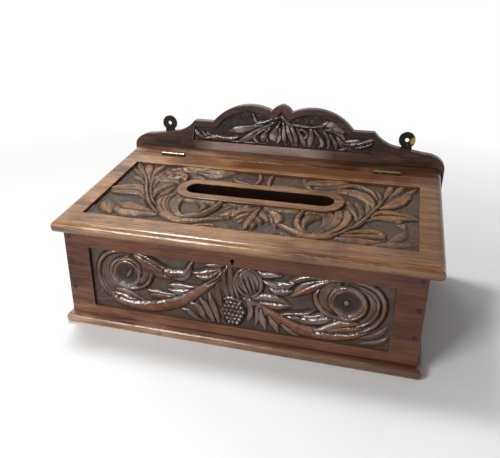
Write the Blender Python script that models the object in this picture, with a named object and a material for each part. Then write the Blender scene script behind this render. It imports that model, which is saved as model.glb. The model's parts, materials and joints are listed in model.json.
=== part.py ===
"""Wall letter box in carved oak: a sloping hinged lid with a posting slot, a lock in the front
board, a crested back board and two hanging plates. Metres, +X right, +Y to the wall, +Z up.
The origin is on the floor plane, at the middle of the overall width and depth."""

import math

import bmesh
import bpy
from mathutils import Matrix, Vector

# Carcass boards
CASE_WIDTH = 0.376
CASE_DEPTH = 0.218
FRONT_HEIGHT = 0.0972
FRONT_THICK = 0.013
SIDE_THICK = 0.012
BACK_THICK = 0.012
BASE_THICK = 0.0105
BASE_LIP_FRONT = 0.009
BASE_LIP_SIDE = 0.0055
BACK_LIP_SIDE = 0.017

# Sloping lid and the fixed rail behind it
SLOPE = math.radians(7.0)
LID_THICK = 0.013
LID_LIP_FRONT = 0.0051
LID_LIP_SIDE = 0.013
RAIL_LENGTH = 0.0286
LID_JOINT = 0.0006

# Rounded board edges: how far each curve runs in from the edge, and where the nose sits
LID_ROUND_TOP = 0.0075
LID_ROUND_UNDER = 0.0045
LID_NOSE_DROP = 0.0072
BASE_ROUND_TOP = 0.0045
BASE_ROUND_UNDER = 0.0035
BASE_NOSE_DROP = 0.0055
CORNER_RADIUS = 0.0035
CORNER_LEAST = 0.0009

# Sunk panels that hold the carving
FRONT_BORDER_SIDE = 0.028
FRONT_BORDER_BASE = 0.0111
FRONT_BORDER_TOP = 0.0143
LID_BORDER_SIDE = 0.0248
LID_BORDER_FRONT = 0.0288
LID_BORDER_REAR = 0.0286
PANEL_DEPTH = 0.0045

# Posting slot, in a plain raised ring
SLOT_LENGTH = 0.171
SLOT_WIDTH = 0.024
SLOT_RING = 0.0115
SLOT_FROM_NOSE = 0.1107

# Crest of the back board: the valley's place from the middle, the others' from the board's ends,
# and heights above the rail
CREST_PEAK_RISE = 0.0648
CREST_VALLEY_X = 0.013
CREST_VALLEY_RISE = 0.0561
CREST_STEP_FROM_END = 0.1135
CREST_STEP_LENGTH = 0.026
CREST_STEP_RISE = 0.0377
CREST_FOOT_FROM_END = 0.063
CREST_FOOT_RISE = 0.0216
CREST_PEAK_BULGE = 0.0018
CREST_ARCH_BULGE = 0.0138
CREST_COVE_SAG = 0.0023
SHOULDER_WIDTH = 0.026
SHOULDER_RISE = 0.0157
SHOULDER_DEPTH = 0.0172
CREST_RIM = 0.0082
FIELD_RISE = 0.0108
FIELD_END = 0.0025
FIELD_NOTCH_IN = 0.0028
FIELD_DEPTH = 0.004

# Butt hinges, let into the joint between lid and rail
HINGE_LENGTH = 0.0313
HINGE_INSET = 0.0632
HINGE_MIDDLE = 0.0166
KNUCKLE_RADIUS = 0.0025
HINGE_PIN_RADIUS = 0.0011
HINGE_AXIS_RISE = 0.0008
LEAF_THICK = 0.0012
LEAF_DEPTH = 0.0105
LEAF_SCREW_SPREAD = 0.009
LEAF_SCREW_DROP = 0.0066

# Lock on the inner face of the front board
KEYHOLE_DROP = 0.0080
KEYHOLE_RADIUS = 0.0022
KEYHOLE_SLOT = 0.0022
KEYHOLE_LENGTH = 0.0042
LOCK_WIDTH = 0.044
LOCK_HEIGHT = 0.025
LOCK_DEPTH = 0.012
LOCK_WALL = 0.0013
LOCK_FLANGE = 0.008
LOCK_TOP_DROP = 0.0008
LOCK_SCREW_INSET = 0.006
DRILL_PIN_RADIUS = 0.0012
DRILL_PIN_HEAD = 0.0022
DRILL_PIN_HEAD_RISE = 0.0008
BOLT_LENGTH = 0.026
BOLT_HEIGHT = 0.0036
BOLT_THICK = 0.0026
BOLT_THROW = 0.007
BOLT_START_GAP = 0.0009
TALON_WIDTH = 0.005
TALON_DEPTH = 0.0012
SPRING_LENGTH = 0.014
SPRING_THICK = 0.0006
LEDGE_LENGTH = 0.010
LEDGE_THICK = 0.0015
LINK_X = 0.012
LINK_LENGTH = 0.028
LINK_WIDTH = 0.011
LINK_THICK = 0.0014
LINK_SCREW_SPREAD = 0.009
TONGUE_THICK = 0.0025
TONGUE_WEB = 0.0014
TONGUE_CLEAR = 0.0006
TONGUE_SIDE_CLEAR = 0.0008

# Hanging plates, let into the rear of the back board
HANGER_INSET = 0.048
HANGER_RISE = 0.0102
HANGER_EYE_RADIUS = 0.0101
HANGER_HOLE_RADIUS = 0.0025
HANGER_THICK = 0.0016
HANGER_NECK = 0.013
HANGER_NECK_DROP = 0.0105
HANGER_BODY_WIDTH = 0.024
HANGER_BODY_DROP = 0.016
HANGER_LENGTH = 0.034
HANGER_SCREW_SPREAD = 0.007
HANGER_SCREW_DROP = 0.025

# Fasteners: head radius, head height, shank radius, length (a nail's radii reach its corners)
HINGE_SCREW = (0.0020, 0.0009, 0.0011, 0.0100)
LOCK_SCREW = (0.0020, 0.0010, 0.0011, 0.0075)
LINK_SCREW = (0.0020, 0.0010, 0.0011, 0.0090)
HANGER_SCREW = (0.0026, 0.0013, 0.0013, 0.0090)
CASE_SCREW = (0.0032, 0.0022, 0.0016, 0.0290)
NAIL = (0.0030, 0.0010, 0.0016, 0.0320)
CASE_SCREW_SINK = 0.0003
DRIVER_SLOT = 0.0006
DRIVER_SLOT_DEPTH = 0.0005
NAILS_PER_SIDE = 3
NAIL_LOW_RISE = 0.032
NAIL_TOP_DROP = 0.004
BASE_SCREW_END = 0.030
BACK_SCREW_END = 0.020
RAIL_SCREW_X = 0.060

# Carving: its main forms, drawn on a sheet as large as the panel, in the sheet's own units.
# A form is its height, as a share of the panel's depth, then points along it: across, up, half width.
RIB_SHOULDER_SHARE = 0.45
RIB_CROWN_SHARE = 0.5
RIB_END_SHARE = 0.75
RIB_ROOT = 0.0008
RIB_STEPS = 2
BUTTON_STEPS = 14
BUTTON_CROWN_SHARE = 0.6
FRONT_SHEET = (160.0, 21.6, 93.1)
FRONT_RIBS = (
    (0.62, (-134, 45, 2), (-122, 42, 5), (-110, 37, 5), (-97, 33, 3)),
    (0.62, (-92, 44, 2), (-82, 45, 4.5), (-70, 45, 4.5), (-56, 47, 2)),
    (0.66, (-71, 59, 2), (-60, 58, 6), (-48, 59, 5), (-34, 62, 1.5)),
    (0.74, (-16, 77, 3), (-25, 68, 4), (-37, 58, 5), (-51, 47, 6.2), (-67, 38, 7), (-85, 32.5, 7),
     (-103, 30, 6), (-121, 30, 5), (-135, 35, 4.5)),
    (0.82, (-141, 37, 2), (-149.5, 50, 2.4), (-152, 65, 2.6), (-148, 79, 2.6), (-138, 87, 2.6),
     (-124, 90.5, 1.6)),
    (0.80, (-98, 86, 2), (-92, 78, 2.3), (-90, 68, 2.4), (-95, 58, 2.4), (-105, 51.5, 2.4), (-117, 49.5, 2.4),
     (-129, 53, 2.4), (-135.5, 62, 2.4), (-136, 71, 2.3), (-131, 79.5, 2.2), (-122, 84, 2.2), (-112, 84, 2)),
    (0.78, (-106, 87, 3), (-95, 82, 7.5), (-83, 76, 8.5), (-74, 71, 5)),
    (0.84, (-73, 75, 4), (-65, 74, 6), (-55, 75, 6), (-49, 80, 4), (-46, 88, 2)),
    (0.74, (-42, 78, 1.5), (-34, 77.5, 5.5), (-25, 80, 5.5), (-14, 87, 2.5)),
    (0.62, (14, 60, 2), (25, 60, 4), (37, 59, 7), (48, 58, 6), (58, 56, 2)),
    (0.62, (86, 44, 2), (96, 46, 4.5), (108, 46, 4.5), (120, 47.5, 3.5)),
    (0.74, (14, 56, 2), (24, 52, 4), (38, 44, 5.6), (53, 37, 7), (70, 32, 7.4), (88, 29.5, 6.5),
     (106, 29.5, 5.6), (121, 32, 4.6), (133, 38, 3.6)),
    (0.76, (58, 44, 2), (72, 44, 5.5), (86, 46, 5.5), (99, 49, 2.5)),
    (0.80, (88, 33, 2), (98, 37, 4), (109, 42, 5), (120, 46, 3)),
    (0.82, (131, 38, 1.6), (143, 46.5, 2.4), (150.5, 60, 2.6), (150.5, 75, 2.6), (142, 85.5, 2.4),
     (128, 89.2, 2.2),
     (112, 89.6, 2.2), (98, 88.4, 2.4), (88, 82, 2.6), (84.5, 72, 2.6), (88, 61, 2.6), (97, 53.5, 2.6),
     (110, 50.5, 2.5), (123, 52, 2.4), (132, 60, 2.3), (133, 71, 2.2), (127, 81, 2.2), (116, 85, 2.2),
     (105, 82, 2.2), (99, 73, 2)),
    (0.78, (94, 88, 3), (86, 86, 5.5), (76, 81, 7), (68, 75, 5), (61, 68, 2)),
    (0.84, (62, 82, 2), (54, 78, 6), (45, 76, 6), (36, 78, 3)),
    (0.70, (14, 91, 2), (15, 84, 9), (16, 74, 10), (16, 62, 3)),
    (0.60, (-7, 88, 2), (-6, 76, 5.5), (-5, 66, 5.5), (-3, 57, 2.5)),
    (0.56, (-28, 46, 1.5), (-25, 38, 5), (-22, 31, 5), (-20, 25, 1.5)),
    (0.56, (28, 46, 1.5), (31, 38, 5), (35, 31, 4), (39, 25, 1.5)),
)
FRONT_BUTTONS = ((0.64, -118, 66.5, 14, 14), (0.64, 116, 68.5, 14.5, 14.5), (0.72, 0, 39, 12, 14.5))
LID_SHEET = (176.2, 28.8, 168.1)
LID_RIBS = (
    (0.55, (-170, 38, 2), (-166, 46, 4.5), (-162, 55, 5), (-160, 63, 2)),
    (0.66, (-102, 46, 3), (-113, 50, 7), (-127, 53, 7), (-139, 54, 3)),
    (0.66, (-99, 41, 3), (-112, 39, 5.5), (-124, 37, 5), (-134, 36, 2)),
    (0.70, (-123, 71, 2), (-133, 84, 4.5), (-145, 90.5, 5.5), (-158, 88, 4.5), (-168, 81, 1.5)),
    (0.80, (-120, 73, 2), (-131, 92, 4.5), (-144, 100, 5.5), (-160, 98.5, 4.5), (-173, 92, 1.5)),
    (0.62, (-129, 90, 2), (-141, 113, 5), (-153, 125, 6), (-165, 130, 1.5)),
    (0.68, (-133, 102, 2), (-146, 130, 5), (-158, 146, 5.4), (-169, 157, 2)),
    (0.72, (-134, 105, 2), (-144, 131, 5), (-150, 150, 6), (-153, 164, 3)),
    (0.74, (-100, 130, 2), (-104, 136, 6), (-112, 140, 8), (-121, 143, 3)),
    (0.84, (-127, 92, 3), (-130, 114, 5), (-127, 134, 6.5), (-116, 148, 7), (-99, 156, 7.5), (-81, 158, 7.5),
     (-65, 157, 8), (-50, 156, 5)),
    (0.70, (-105, 80, 2), (-112, 90, 6), (-114, 101, 6), (-108, 110, 2)),
    (0.70, (-86, 85, 3), (-86, 75, 5), (-84, 62, 5.5), (-77, 51, 4.5), (-66, 45, 3)),
    (0.78, (-63, 42, 3), (-51, 47, 5), (-45, 58, 7), (-44, 70, 7), (-41, 83, 3)),
    (0.88, (-94, 89, 2.5), (-99, 80, 6), (-99, 67, 7.5), (-92, 53, 7.5), (-79, 42, 6.5), (-63, 36.5, 5.5),
     (-49, 38, 4.5), (-36, 45, 3.4), (-22, 52, 2)),
    (0.88, (-98, 46, 2), (-108, 57, 3), (-117, 69, 3.4), (-126, 84, 3.2), (-133, 100, 2.6), (-137, 116, 1.6)),
    (0.66, (99, 46, 3), (111, 51, 7), (126, 54, 7), (138, 52, 3)),
    (0.66, (100, 41, 3), (112, 39, 5), (123, 37.5, 4.5), (132, 35, 2)),
    (0.70, (121, 74, 2), (133, 84, 5), (147, 88, 6), (159, 85, 4.5), (167, 81, 1.5)),
    (0.80, (120, 78, 2), (132, 93, 5), (145, 101, 6.5), (160, 99, 5), (173, 92, 1.5)),
    (0.80, (136, 104, 2), (146, 115, 6), (156, 127, 7.4), (163, 140, 4.5), (167, 151, 1.5)),
    (0.74, (133, 104, 2), (139, 122, 5), (144, 140, 6), (148, 154, 5), (150, 164, 2)),
    (0.84, (126, 92, 3), (130, 110, 4.4), (127, 127, 5.4), (118, 140, 6.2), (105, 148, 6.6), (91, 153, 7),
     (77, 155.5, 7.5), (64, 156, 8), (52, 154, 5)),
    (0.72, (119, 77, 2), (114, 91, 5.5), (109, 104, 5.5), (103, 114, 1.5)),
    (0.76, (90, 46, 2), (98, 58, 7), (100, 71, 7.5), (95, 82, 5)),
    (0.70, (84, 48, 2), (85, 60, 4), (83, 72, 4.4), (79, 82, 2)),
    (0.78, (62, 39, 3), (56, 49, 5), (55, 62, 5), (57, 74, 4), (61, 83, 2)),
    (0.86, (30, 51, 1.6), (42, 45, 3), (55, 38.5, 4.2), (69, 35, 5), (83, 37, 5), (95, 44, 4)),
    (0.88, (92, 42, 2), (106, 54, 3), (115, 69, 3.2), (122, 84, 3), (128, 99, 2.6), (132, 116, 1.6)),
    (0.70, (-9, 82, 2), (-15, 73, 5.5), (-21, 64, 5), (-25, 54, 1.5)),
    (0.70, (21, 82, 2), (26, 73, 6), (30, 63, 5), (29, 50, 1.5)),
    (0.80, (3, 83, 2), (2, 69, 8), (2, 53, 7), (0, 35, 2)),
)

# Clearances
GAP = 0.0003
PIN_CLEAR = 0.00008
CUT_OVER = 0.001

# Facets
ARC_STEPS = 10
ROUND_STEPS = 16
SCREW_STEPS = 12
NAIL_STEPS = 4
EDGE_STEPS = 5
CORNER_STEPS = 3

# Colours: base colour, roughness, metallic
FINISHES = {
    "lid_oak": ((0.150, 0.068, 0.032), 0.42, 0.0),
    "rail_oak": ((0.170, 0.076, 0.030), 0.38, 0.0),
    "front_oak": ((0.082, 0.033, 0.020), 0.42, 0.0),
    "side_oak": ((0.075, 0.031, 0.019), 0.50, 0.0),
    "back_oak": ((0.052, 0.024, 0.017), 0.45, 0.0),
    "base_oak": ((0.100, 0.043, 0.024), 0.45, 0.0),
    "hinge_steel": ((0.180, 0.155, 0.135), 0.40, 0.9),
    "lock_brass": ((0.420, 0.290, 0.120), 0.42, 1.0),
    "bolt_steel": ((0.300, 0.290, 0.280), 0.35, 1.0),
    "hanger_brass": ((0.060, 0.055, 0.050), 0.45, 0.8),
    "screw_steel": ((0.170, 0.160, 0.150), 0.45, 0.9),
    "nail_iron": ((0.022, 0.018, 0.017), 0.60, 0.6),
}

# Places that follow from the sizes above
FRONT_Y = -(CASE_DEPTH + BACK_THICK - BASE_LIP_FRONT) / 2
FRONT_INNER_Y = FRONT_Y + FRONT_THICK
BACK_Y = FRONT_Y + CASE_DEPTH
REAR_Y = BACK_Y + BACK_THICK
SIDE_MID_X = CASE_WIDTH / 2 - SIDE_THICK / 2
LID_HALF = CASE_WIDTH / 2 + LID_LIP_SIDE
BACK_HALF = CASE_WIDTH / 2 + BACK_LIP_SIDE


def seat_z(y):
    """Height of the lid's underside above the floor, at depth y."""
    return BASE_THICK + FRONT_HEIGHT + (y - FRONT_Y) * math.tan(SLOPE)


def lid_top_z(y):
    return seat_z(y) + LID_THICK / math.cos(SLOPE)


RAIL_TOP_Z = lid_top_z(BACK_Y)
JOINT_Y = BACK_Y - GAP - RAIL_LENGTH * math.cos(SLOPE)
AXIS_Y = JOINT_Y - HINGE_AXIS_RISE * math.sin(SLOPE)
AXIS_Z = lid_top_z(JOINT_Y) + HINGE_AXIS_RISE * math.cos(SLOPE)
NOSE_TO_JOINT = JOINT_Y + LID_THICK / 2 * math.sin(SLOPE) - (FRONT_Y - LID_LIP_FRONT)
LID_LENGTH = NOSE_TO_JOINT / math.cos(SLOPE)
LID_TOP_W = -HINGE_AXIS_RISE
LID_UNDER_W = LID_TOP_W - LID_THICK
LID_REAR_V = -LID_JOINT / 2
CREST_STEP_IN = BACK_HALF - CREST_STEP_FROM_END
CREST_STEP_OUT = CREST_STEP_IN + CREST_STEP_LENGTH
CREST_FOOT_X = BACK_HALF - CREST_FOOT_FROM_END
HINGE_X = LID_HALF - HINGE_INSET
HANGER_X = BACK_HALF - HANGER_INSET
KEYHOLE_Z = seat_z(FRONT_Y) - GAP - KEYHOLE_DROP
LOCK_TOP_Z = seat_z(FRONT_INNER_Y) - GAP - LOCK_TOP_DROP
LOCK_BASE_Z = LOCK_TOP_Z - LOCK_HEIGHT
LOCK_FACE_Y = FRONT_INNER_Y + GAP
LOCK_REAR_Y = LOCK_FACE_Y + LOCK_DEPTH
BOLT_TOP_Z = LOCK_TOP_Z - LOCK_WALL - SPRING_THICK - 2 * GAP
BOLT_Z = BOLT_TOP_Z - BOLT_HEIGHT / 2
BOLT_Y = (LOCK_FACE_Y + LOCK_REAR_Y) / 2
BOLT_END_X = LINK_X - TONGUE_THICK / 2 - BOLT_START_GAP


def lid_frame(y, z):
    """A point's place along the slope and square to it, from the hinge axis."""
    dy = y - AXIS_Y
    dz = z - AXIS_Z
    along = dy * math.cos(SLOPE) + dz * math.sin(SLOPE)
    square = dz * math.cos(SLOPE) - dy * math.sin(SLOPE)
    return along, square


def clear_scene():
    for old in list(bpy.data.objects):
        bpy.data.objects.remove(old, do_unlink=True)


def finish_material(finish):
    found = bpy.data.materials.get(finish)
    if found:
        return found
    colour, roughness, metallic = FINISHES[finish]
    made = bpy.data.materials.new(finish)
    made.use_nodes = True
    shader = made.node_tree.nodes["Principled BSDF"]
    shader.inputs["Base Color"].default_value = (*colour, 1.0)
    shader.inputs["Roughness"].default_value = roughness
    shader.inputs["Metallic"].default_value = metallic
    made.diffuse_color = (*colour, 1.0)
    return made


def mesh_from(bm, name, smooth=False):
    bmesh.ops.recalc_face_normals(bm, faces=bm.faces)
    mesh = bpy.data.meshes.new(name)
    bm.to_mesh(mesh)
    bm.free()
    if smooth:
        mesh.shade_smooth()
        mesh.set_sharp_from_angle(angle=math.radians(35))
    return mesh


def place(name, mesh, parent=None, matrix=None):
    made = bpy.data.objects.new(name, mesh)
    bpy.context.scene.collection.objects.link(made)
    made.parent = parent
    if matrix is not None:
        made.matrix_basis = matrix
    return made


def solid(name, bm, finish, parent=None, matrix=None, smooth=False):
    mesh = mesh_from(bm, name, smooth)
    mesh.materials.append(finish_material(finish))
    return place(name, mesh, parent, matrix)


def cutter(name, bm, parent=None, matrix=None):
    made = place(name, mesh_from(bm, name), parent, matrix)
    made.hide_render = True
    made.display_type = "WIRE"
    return made


def cut(target, tool):
    modifier = target.modifiers.new(tool.name, "BOOLEAN")
    modifier.operation = "DIFFERENCE"
    modifier.solver = "EXACT"
    modifier.object = tool


def join(target, tool, solver="EXACT"):
    modifier = target.modifiers.new(tool.name, "BOOLEAN")
    modifier.operation = "UNION"
    modifier.solver = solver
    modifier.object = tool


def axis_empty(name, location, tilt=0.0):
    made = bpy.data.objects.new(name, None)
    bpy.context.scene.collection.objects.link(made)
    made.empty_display_size = 0.02
    made.location = location
    made.rotation_euler = (tilt, 0.0, 0.0)
    return made


def prism(outline, axis, start, end):
    """A closed solid: an outline in the plane square to the axis, run from start to end."""
    bm = bmesh.new()
    spots = {
        "X": lambda p, q, a: (a, p, q),
        "Y": lambda p, q, a: (p, a, q),
        "Z": lambda p, q, a: (p, q, a),
    }[axis]
    near = [bm.verts.new(spots(p, q, start)) for p, q in outline]
    far = [bm.verts.new(spots(p, q, end)) for p, q in outline]
    bm.faces.new(near)
    bm.faces.new(far)
    count = len(outline)
    for i in range(count):
        j = (i + 1) % count
        bm.faces.new((near[i], near[j], far[j], far[i]))
    return bm


def block(x0, x1, y0, y1, z0, z1):
    return prism([(y0, z0), (y1, z0), (y1, z1), (y0, z1)], "X", x0, x1)


def circle(cx, cy, radius, steps=ROUND_STEPS):
    turn = 2 * math.pi / steps
    return [(cx + radius * math.cos(i * turn), cy + radius * math.sin(i * turn)) for i in range(steps)]


def stadium(half_length, radius, cy):
    """A long slot outline with round ends, its middle at (0, cy)."""
    straight = half_length - radius
    turn = math.pi / ARC_STEPS
    points = []
    for side in (1, -1):
        for i in range(ARC_STEPS + 1):
            angle = -math.pi / 2 * side + i * turn
            points.append((side * straight + radius * math.cos(angle), cy + radius * math.sin(angle)))
    return points


def arc(start, end, bulge, steps=ARC_STEPS):
    """Points of a round arc after start, up to end, standing out by bulge to the left of the way."""
    a = Vector(start)
    b = Vector(end)
    chord = b - a
    half = chord.length / 2
    radius = (half * half + bulge * bulge) / (2 * abs(bulge))
    left = Vector((-chord.y, chord.x)).normalized() * (1 if bulge > 0 else -1)
    centre = (a + b) / 2 + left * (abs(bulge) - radius)
    from_angle = math.atan2(*reversed(a - centre))
    sweep = (a - centre).angle_signed(b - centre)
    points = []
    for i in range(1, steps + 1):
        angle = from_angle - sweep * i / steps
        points.append((centre.x + radius * math.cos(angle), centre.y + radius * math.sin(angle)))
    return points


def turned(profile, steps):
    """A solid of revolution about Z, from (radius, height) pairs that start and end on the axis."""
    bm = bmesh.new()
    rings = []
    for radius, height in profile:
        if radius == 0:
            rings.append([bm.verts.new((0, 0, height))])
        else:
            rings.append([bm.verts.new((x, y, height)) for x, y in circle(0, 0, radius, steps)])
    for low, high in zip(rings, rings[1:]):
        for i in range(steps):
            j = (i + 1) % steps
            corners = [low[i % len(low)], low[j % len(low)], high[j % len(high)], high[i % len(high)]]
            bm.faces.new(list(dict.fromkeys(corners)))
    return bm


def rounded_edge(thick, round_top, round_under, nose_drop):
    """(inset, height) pairs up a rounded board edge, from the underside to the top face."""
    pairs = []
    under = thick - nose_drop
    for i in range(EDGE_STEPS):
        angle = math.pi / 2 * i / EDGE_STEPS
        pairs.append((round_under * (1 - math.sin(angle)), under * (1 - math.cos(angle))))
    for i in range(EDGE_STEPS + 1):
        angle = math.pi / 2 * i / EDGE_STEPS
        pairs.append((round_top * (1 - math.cos(angle)), under + nose_drop * math.sin(angle)))
    return pairs


def board_ring(half, front, rear, inset, round_front):
    """One level of a board with rounded ends and, where round_front is set, a rounded front."""
    x = half - inset
    if not round_front:
        return [(-x, rear), (-x, front), (x, front), (x, rear)]
    radius = max(CORNER_RADIUS - inset, CORNER_LEAST)
    y = front + inset + radius
    turn = math.pi / 2 / CORNER_STEPS
    points = [(-x, rear)]
    for side in (-1, 1):
        for i in range(CORNER_STEPS + 1):
            angle = i * turn if side < 0 else math.pi / 2 - i * turn
            points.append((side * (x - radius + radius * math.cos(angle)), y - radius * math.sin(angle)))
    return points + [(x, rear)]


def moulded_board(half, front, rear, floor, edge, round_front=True, rear_lean=0.0):
    """A board of stacked outlines. rear_lean moves its rear face back for each metre of height."""
    bm = bmesh.new()
    levels = []
    for inset, height in edge:
        ring = board_ring(half, front, rear + rear_lean * height, inset, round_front)
        levels.append([bm.verts.new((x, y, floor + height)) for x, y in ring])
    bm.faces.new(levels[0])
    bm.faces.new(levels[-1])
    for low, high in zip(levels, levels[1:]):
        for i in range(len(low)):
            j = (i + 1) % len(low)
            bm.faces.new((low[i], low[j], high[j], high[i]))
    return bm


def facing(point, outward, spin=0.0):
    """A placement at point, whose +Z looks along outward, turned about it by spin."""
    turn = Vector((0, 0, 1)).rotation_difference(Vector(outward)).to_matrix().to_4x4()
    return Matrix.Translation(point) @ turn @ Matrix.Rotation(spin, 4, "Z")


def slotted_screw_mesh(size, finish):
    """A countersunk wood screw along -Z, its head flush with z = 0 and slotted for a driver."""
    head, head_height, shank, length = size
    name = "screw_" + "_".join(str(round(value * 1e5)) for value in size)
    found = bpy.data.meshes.get(name)
    if found:
        return found
    profile = [
        (0, 0),
        (head, 0),
        (shank, -head_height),
        (shank, -length + 2 * shank),
        (0, -length),
    ]
    blank = solid(name + "_blank", turned(profile, SCREW_STEPS), finish, smooth=True)
    half = DRIVER_SLOT / 2
    over = head + CUT_OVER
    groove = cutter(name + "_groove", block(-over, over, -half, half, -DRIVER_SLOT_DEPTH, CUT_OVER))
    cut(blank, groove)
    bpy.context.view_layer.update()
    graph = bpy.context.evaluated_depsgraph_get()
    mesh = bpy.data.meshes.new_from_object(blank.evaluated_get(graph))
    mesh.name = name
    bpy.data.objects.remove(blank, do_unlink=True)
    bpy.data.objects.remove(groove, do_unlink=True)
    return mesh


def nail_mesh(size, finish):
    """A square cut nail along -Z, its head flush with z = 0."""
    head, head_height, shank, length = size
    found = bpy.data.meshes.get("nail")
    if found:
        return found
    profile = [
        (0, 0),
        (head, 0),
        (head, -head_height),
        (shank, -head_height),
        (shank, -length + 3 * shank),
        (0, -length),
    ]
    mesh = mesh_from(turned(profile, NAIL_STEPS), "nail")
    mesh.materials.append(finish_material(finish))
    return mesh


def countersink(size):
    """The hole that a screw needs, open above its head."""
    head, head_height, shank, length = size
    return turned(
        [
            (0, CUT_OVER),
            (head + GAP, CUT_OVER),
            (head + GAP, -GAP),
            (shank + GAP, -head_height - GAP),
            (shank + GAP, -length + 2 * shank),
            (0, -length - 2 * GAP),
        ],
        SCREW_STEPS,
    )


def nail_hole(size):
    head, head_height, shank, length = size
    return turned(
        [
            (0, CUT_OVER),
            (head + GAP, CUT_OVER),
            (head + GAP, -head_height - GAP),
            (shank + GAP, -head_height - GAP),
            (shank + GAP, -length + 3 * shank),
            (0, -length - 2 * GAP),
        ],
        NAIL_STEPS,
    )


def fasten(name, mesh, hole, boards, point, outward, parent=None, spin=0.0):
    """A screw or nail at a surface point, and its hole through every board that it holds."""
    matrix = facing(point, outward, spin)
    place(name, mesh, parent, matrix)
    tool = cutter("hole_" + name, hole, parent, matrix)
    for board in boards:
        cut(board, tool)


def sunk_panel(name, board, box, parent=None):
    tool = cutter(name, block(*box), parent)
    cut(board, tool)
    return tool


# Carving
def smooth_run(points):
    """A smooth curve through the points. Every number of a point follows it."""
    ends = [[2 * a - b for a, b in zip(*pair)] for pair in (points[:2], points[:-3:-1])]
    run = [ends[0], *points, ends[1]]
    found = []
    for a, b, c, d in zip(run, run[1:], run[2:], run[3:]):
        for step in range(RIB_STEPS):
            t = step / RIB_STEPS
            found.append([
                b_ + t * ((c_ - a_) + t * (2 * a_ - 5 * b_ + 4 * c_ - d_ + t * (3 * b_ - a_ - 3 * c_ + d_))) / 2
                for a_, b_, c_, d_ in zip(a, b, c, d)
            ])
    return found + [list(points[-1])]


def sheet_place(sheet, half, low, high):
    """How a point of the drawn sheet becomes a place across and up the real panel, and at what scale."""
    drawn_half, drawn_low, drawn_high = sheet
    scale = (high - low) / (drawn_high - drawn_low)

    def to_panel(across, up):
        return across * half / drawn_half, low + (up - drawn_low) * scale

    return to_panel, scale


def rib(form, to_panel, scale, spot):
    """One carved form: a raised strip with bevelled sides, rooted in the panel's floor."""
    share, *points = form
    run = smooth_run(points)
    bm = bmesh.new()
    rings = []
    for i, (across, up, width) in enumerate(run):
        before, after = run[max(i - 1, 0)], run[min(i + 1, len(run) - 1)]
        ahead = Vector(to_panel(*after[:2])) - Vector(to_panel(*before[:2]))
        aside = Vector((-ahead.y, ahead.x)).normalized() * width * scale
        height = share * PANEL_DEPTH * (RIB_END_SHARE if i in (0, len(run) - 1) else 1.0)
        middle = Vector(to_panel(across, up))
        section = (
            (-1.0, -RIB_ROOT), (-1.0, RIB_SHOULDER_SHARE * height), (-RIB_CROWN_SHARE, height),
            (RIB_CROWN_SHARE, height), (1.0, RIB_SHOULDER_SHARE * height), (1.0, -RIB_ROOT),
        )
        rings.append([bm.verts.new(spot(*(middle + aside * u), out)) for u, out in section])
    return skinned(bm, rings)


def button(form, to_panel, scale, spot):
    """One carved button, rooted in the panel's floor."""
    share, across, up, half_wide, half_high = form
    height = share * PANEL_DEPTH
    middle = Vector(to_panel(across, up))
    bm = bmesh.new()
    rings = []
    for grow, out in ((1.0, -RIB_ROOT), (1.0, RIB_SHOULDER_SHARE * height), (BUTTON_CROWN_SHARE, height)):
        ring = []
        for i in range(BUTTON_STEPS):
            turn = 2 * math.pi * i / BUTTON_STEPS
            aside = Vector((half_wide * math.cos(turn), half_high * math.sin(turn))) * scale * grow
            ring.append(bm.verts.new(spot(*(middle + aside), out)))
        rings.append(ring)
    return skinned(bm, rings)


def skinned(bm, rings):
    """Closes a row of rings into a solid that faces out."""
    count = len(rings[0])
    for one, other in zip(rings, rings[1:]):
        for i in range(count):
            j = (i + 1) % count
            bm.faces.new((one[i], one[j], other[j], other[i]))
    bm.faces.new(rings[0][::-1])
    bm.faces.new(rings[-1])
    bmesh.ops.recalc_face_normals(bm, faces=bm.faces)
    return bm


def carve(board, name, ribs, buttons, to_panel, scale, spot, parent=None):
    """Joins all the forms to each other, and then to the board."""
    made = [rib(form, to_panel, scale, spot) for form in ribs]
    made += [button(form, to_panel, scale, spot) for form in buttons]
    forms = [cutter(f"{name}_{number}", bm, parent) for number, bm in enumerate(made, 1)]
    for form in forms[1:]:
        join(forms[0], form, "MANIFOLD")
    join(board, forms[0], "MANIFOLD")


# Boards of the case
def make_base():
    half = CASE_WIDTH / 2 + BASE_LIP_SIDE
    edge = rounded_edge(BASE_THICK, BASE_ROUND_TOP, BASE_ROUND_UNDER, BASE_NOSE_DROP)
    bm = moulded_board(half, FRONT_Y - BASE_LIP_FRONT, BACK_Y - GAP, 0.0, edge)
    return solid("base_board", bm, "base_oak", smooth=True)


def make_front():
    floor = BASE_THICK + GAP
    outline = [
        (FRONT_Y, floor),
        (FRONT_INNER_Y, floor),
        (FRONT_INNER_Y, seat_z(FRONT_INNER_Y) - GAP),
        (FRONT_Y, seat_z(FRONT_Y) - GAP),
    ]
    half = CASE_WIDTH / 2
    board = solid("front_board", prism(outline, "X", -half, half), "front_oak")
    panel = half - FRONT_BORDER_SIDE
    low = BASE_THICK + FRONT_BORDER_BASE
    high = seat_z(FRONT_Y) - GAP - FRONT_BORDER_TOP
    box = (-panel, panel, FRONT_Y - CUT_OVER, FRONT_Y + PANEL_DEPTH, low, high)
    sunk_panel("front_panel_cut", board, box)
    to_panel, scale = sheet_place(FRONT_SHEET, panel, low, high)

    def spot(x, z, out):
        return x, FRONT_Y + PANEL_DEPTH - out, z

    carve(board, "front_rib", FRONT_RIBS, FRONT_BUTTONS, to_panel, scale, spot)
    cut(board, cutter("keyhole_cut", prism(keyhole_outline(), "Y", FRONT_Y - CUT_OVER, LOCK_FACE_Y)))
    return board


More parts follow.
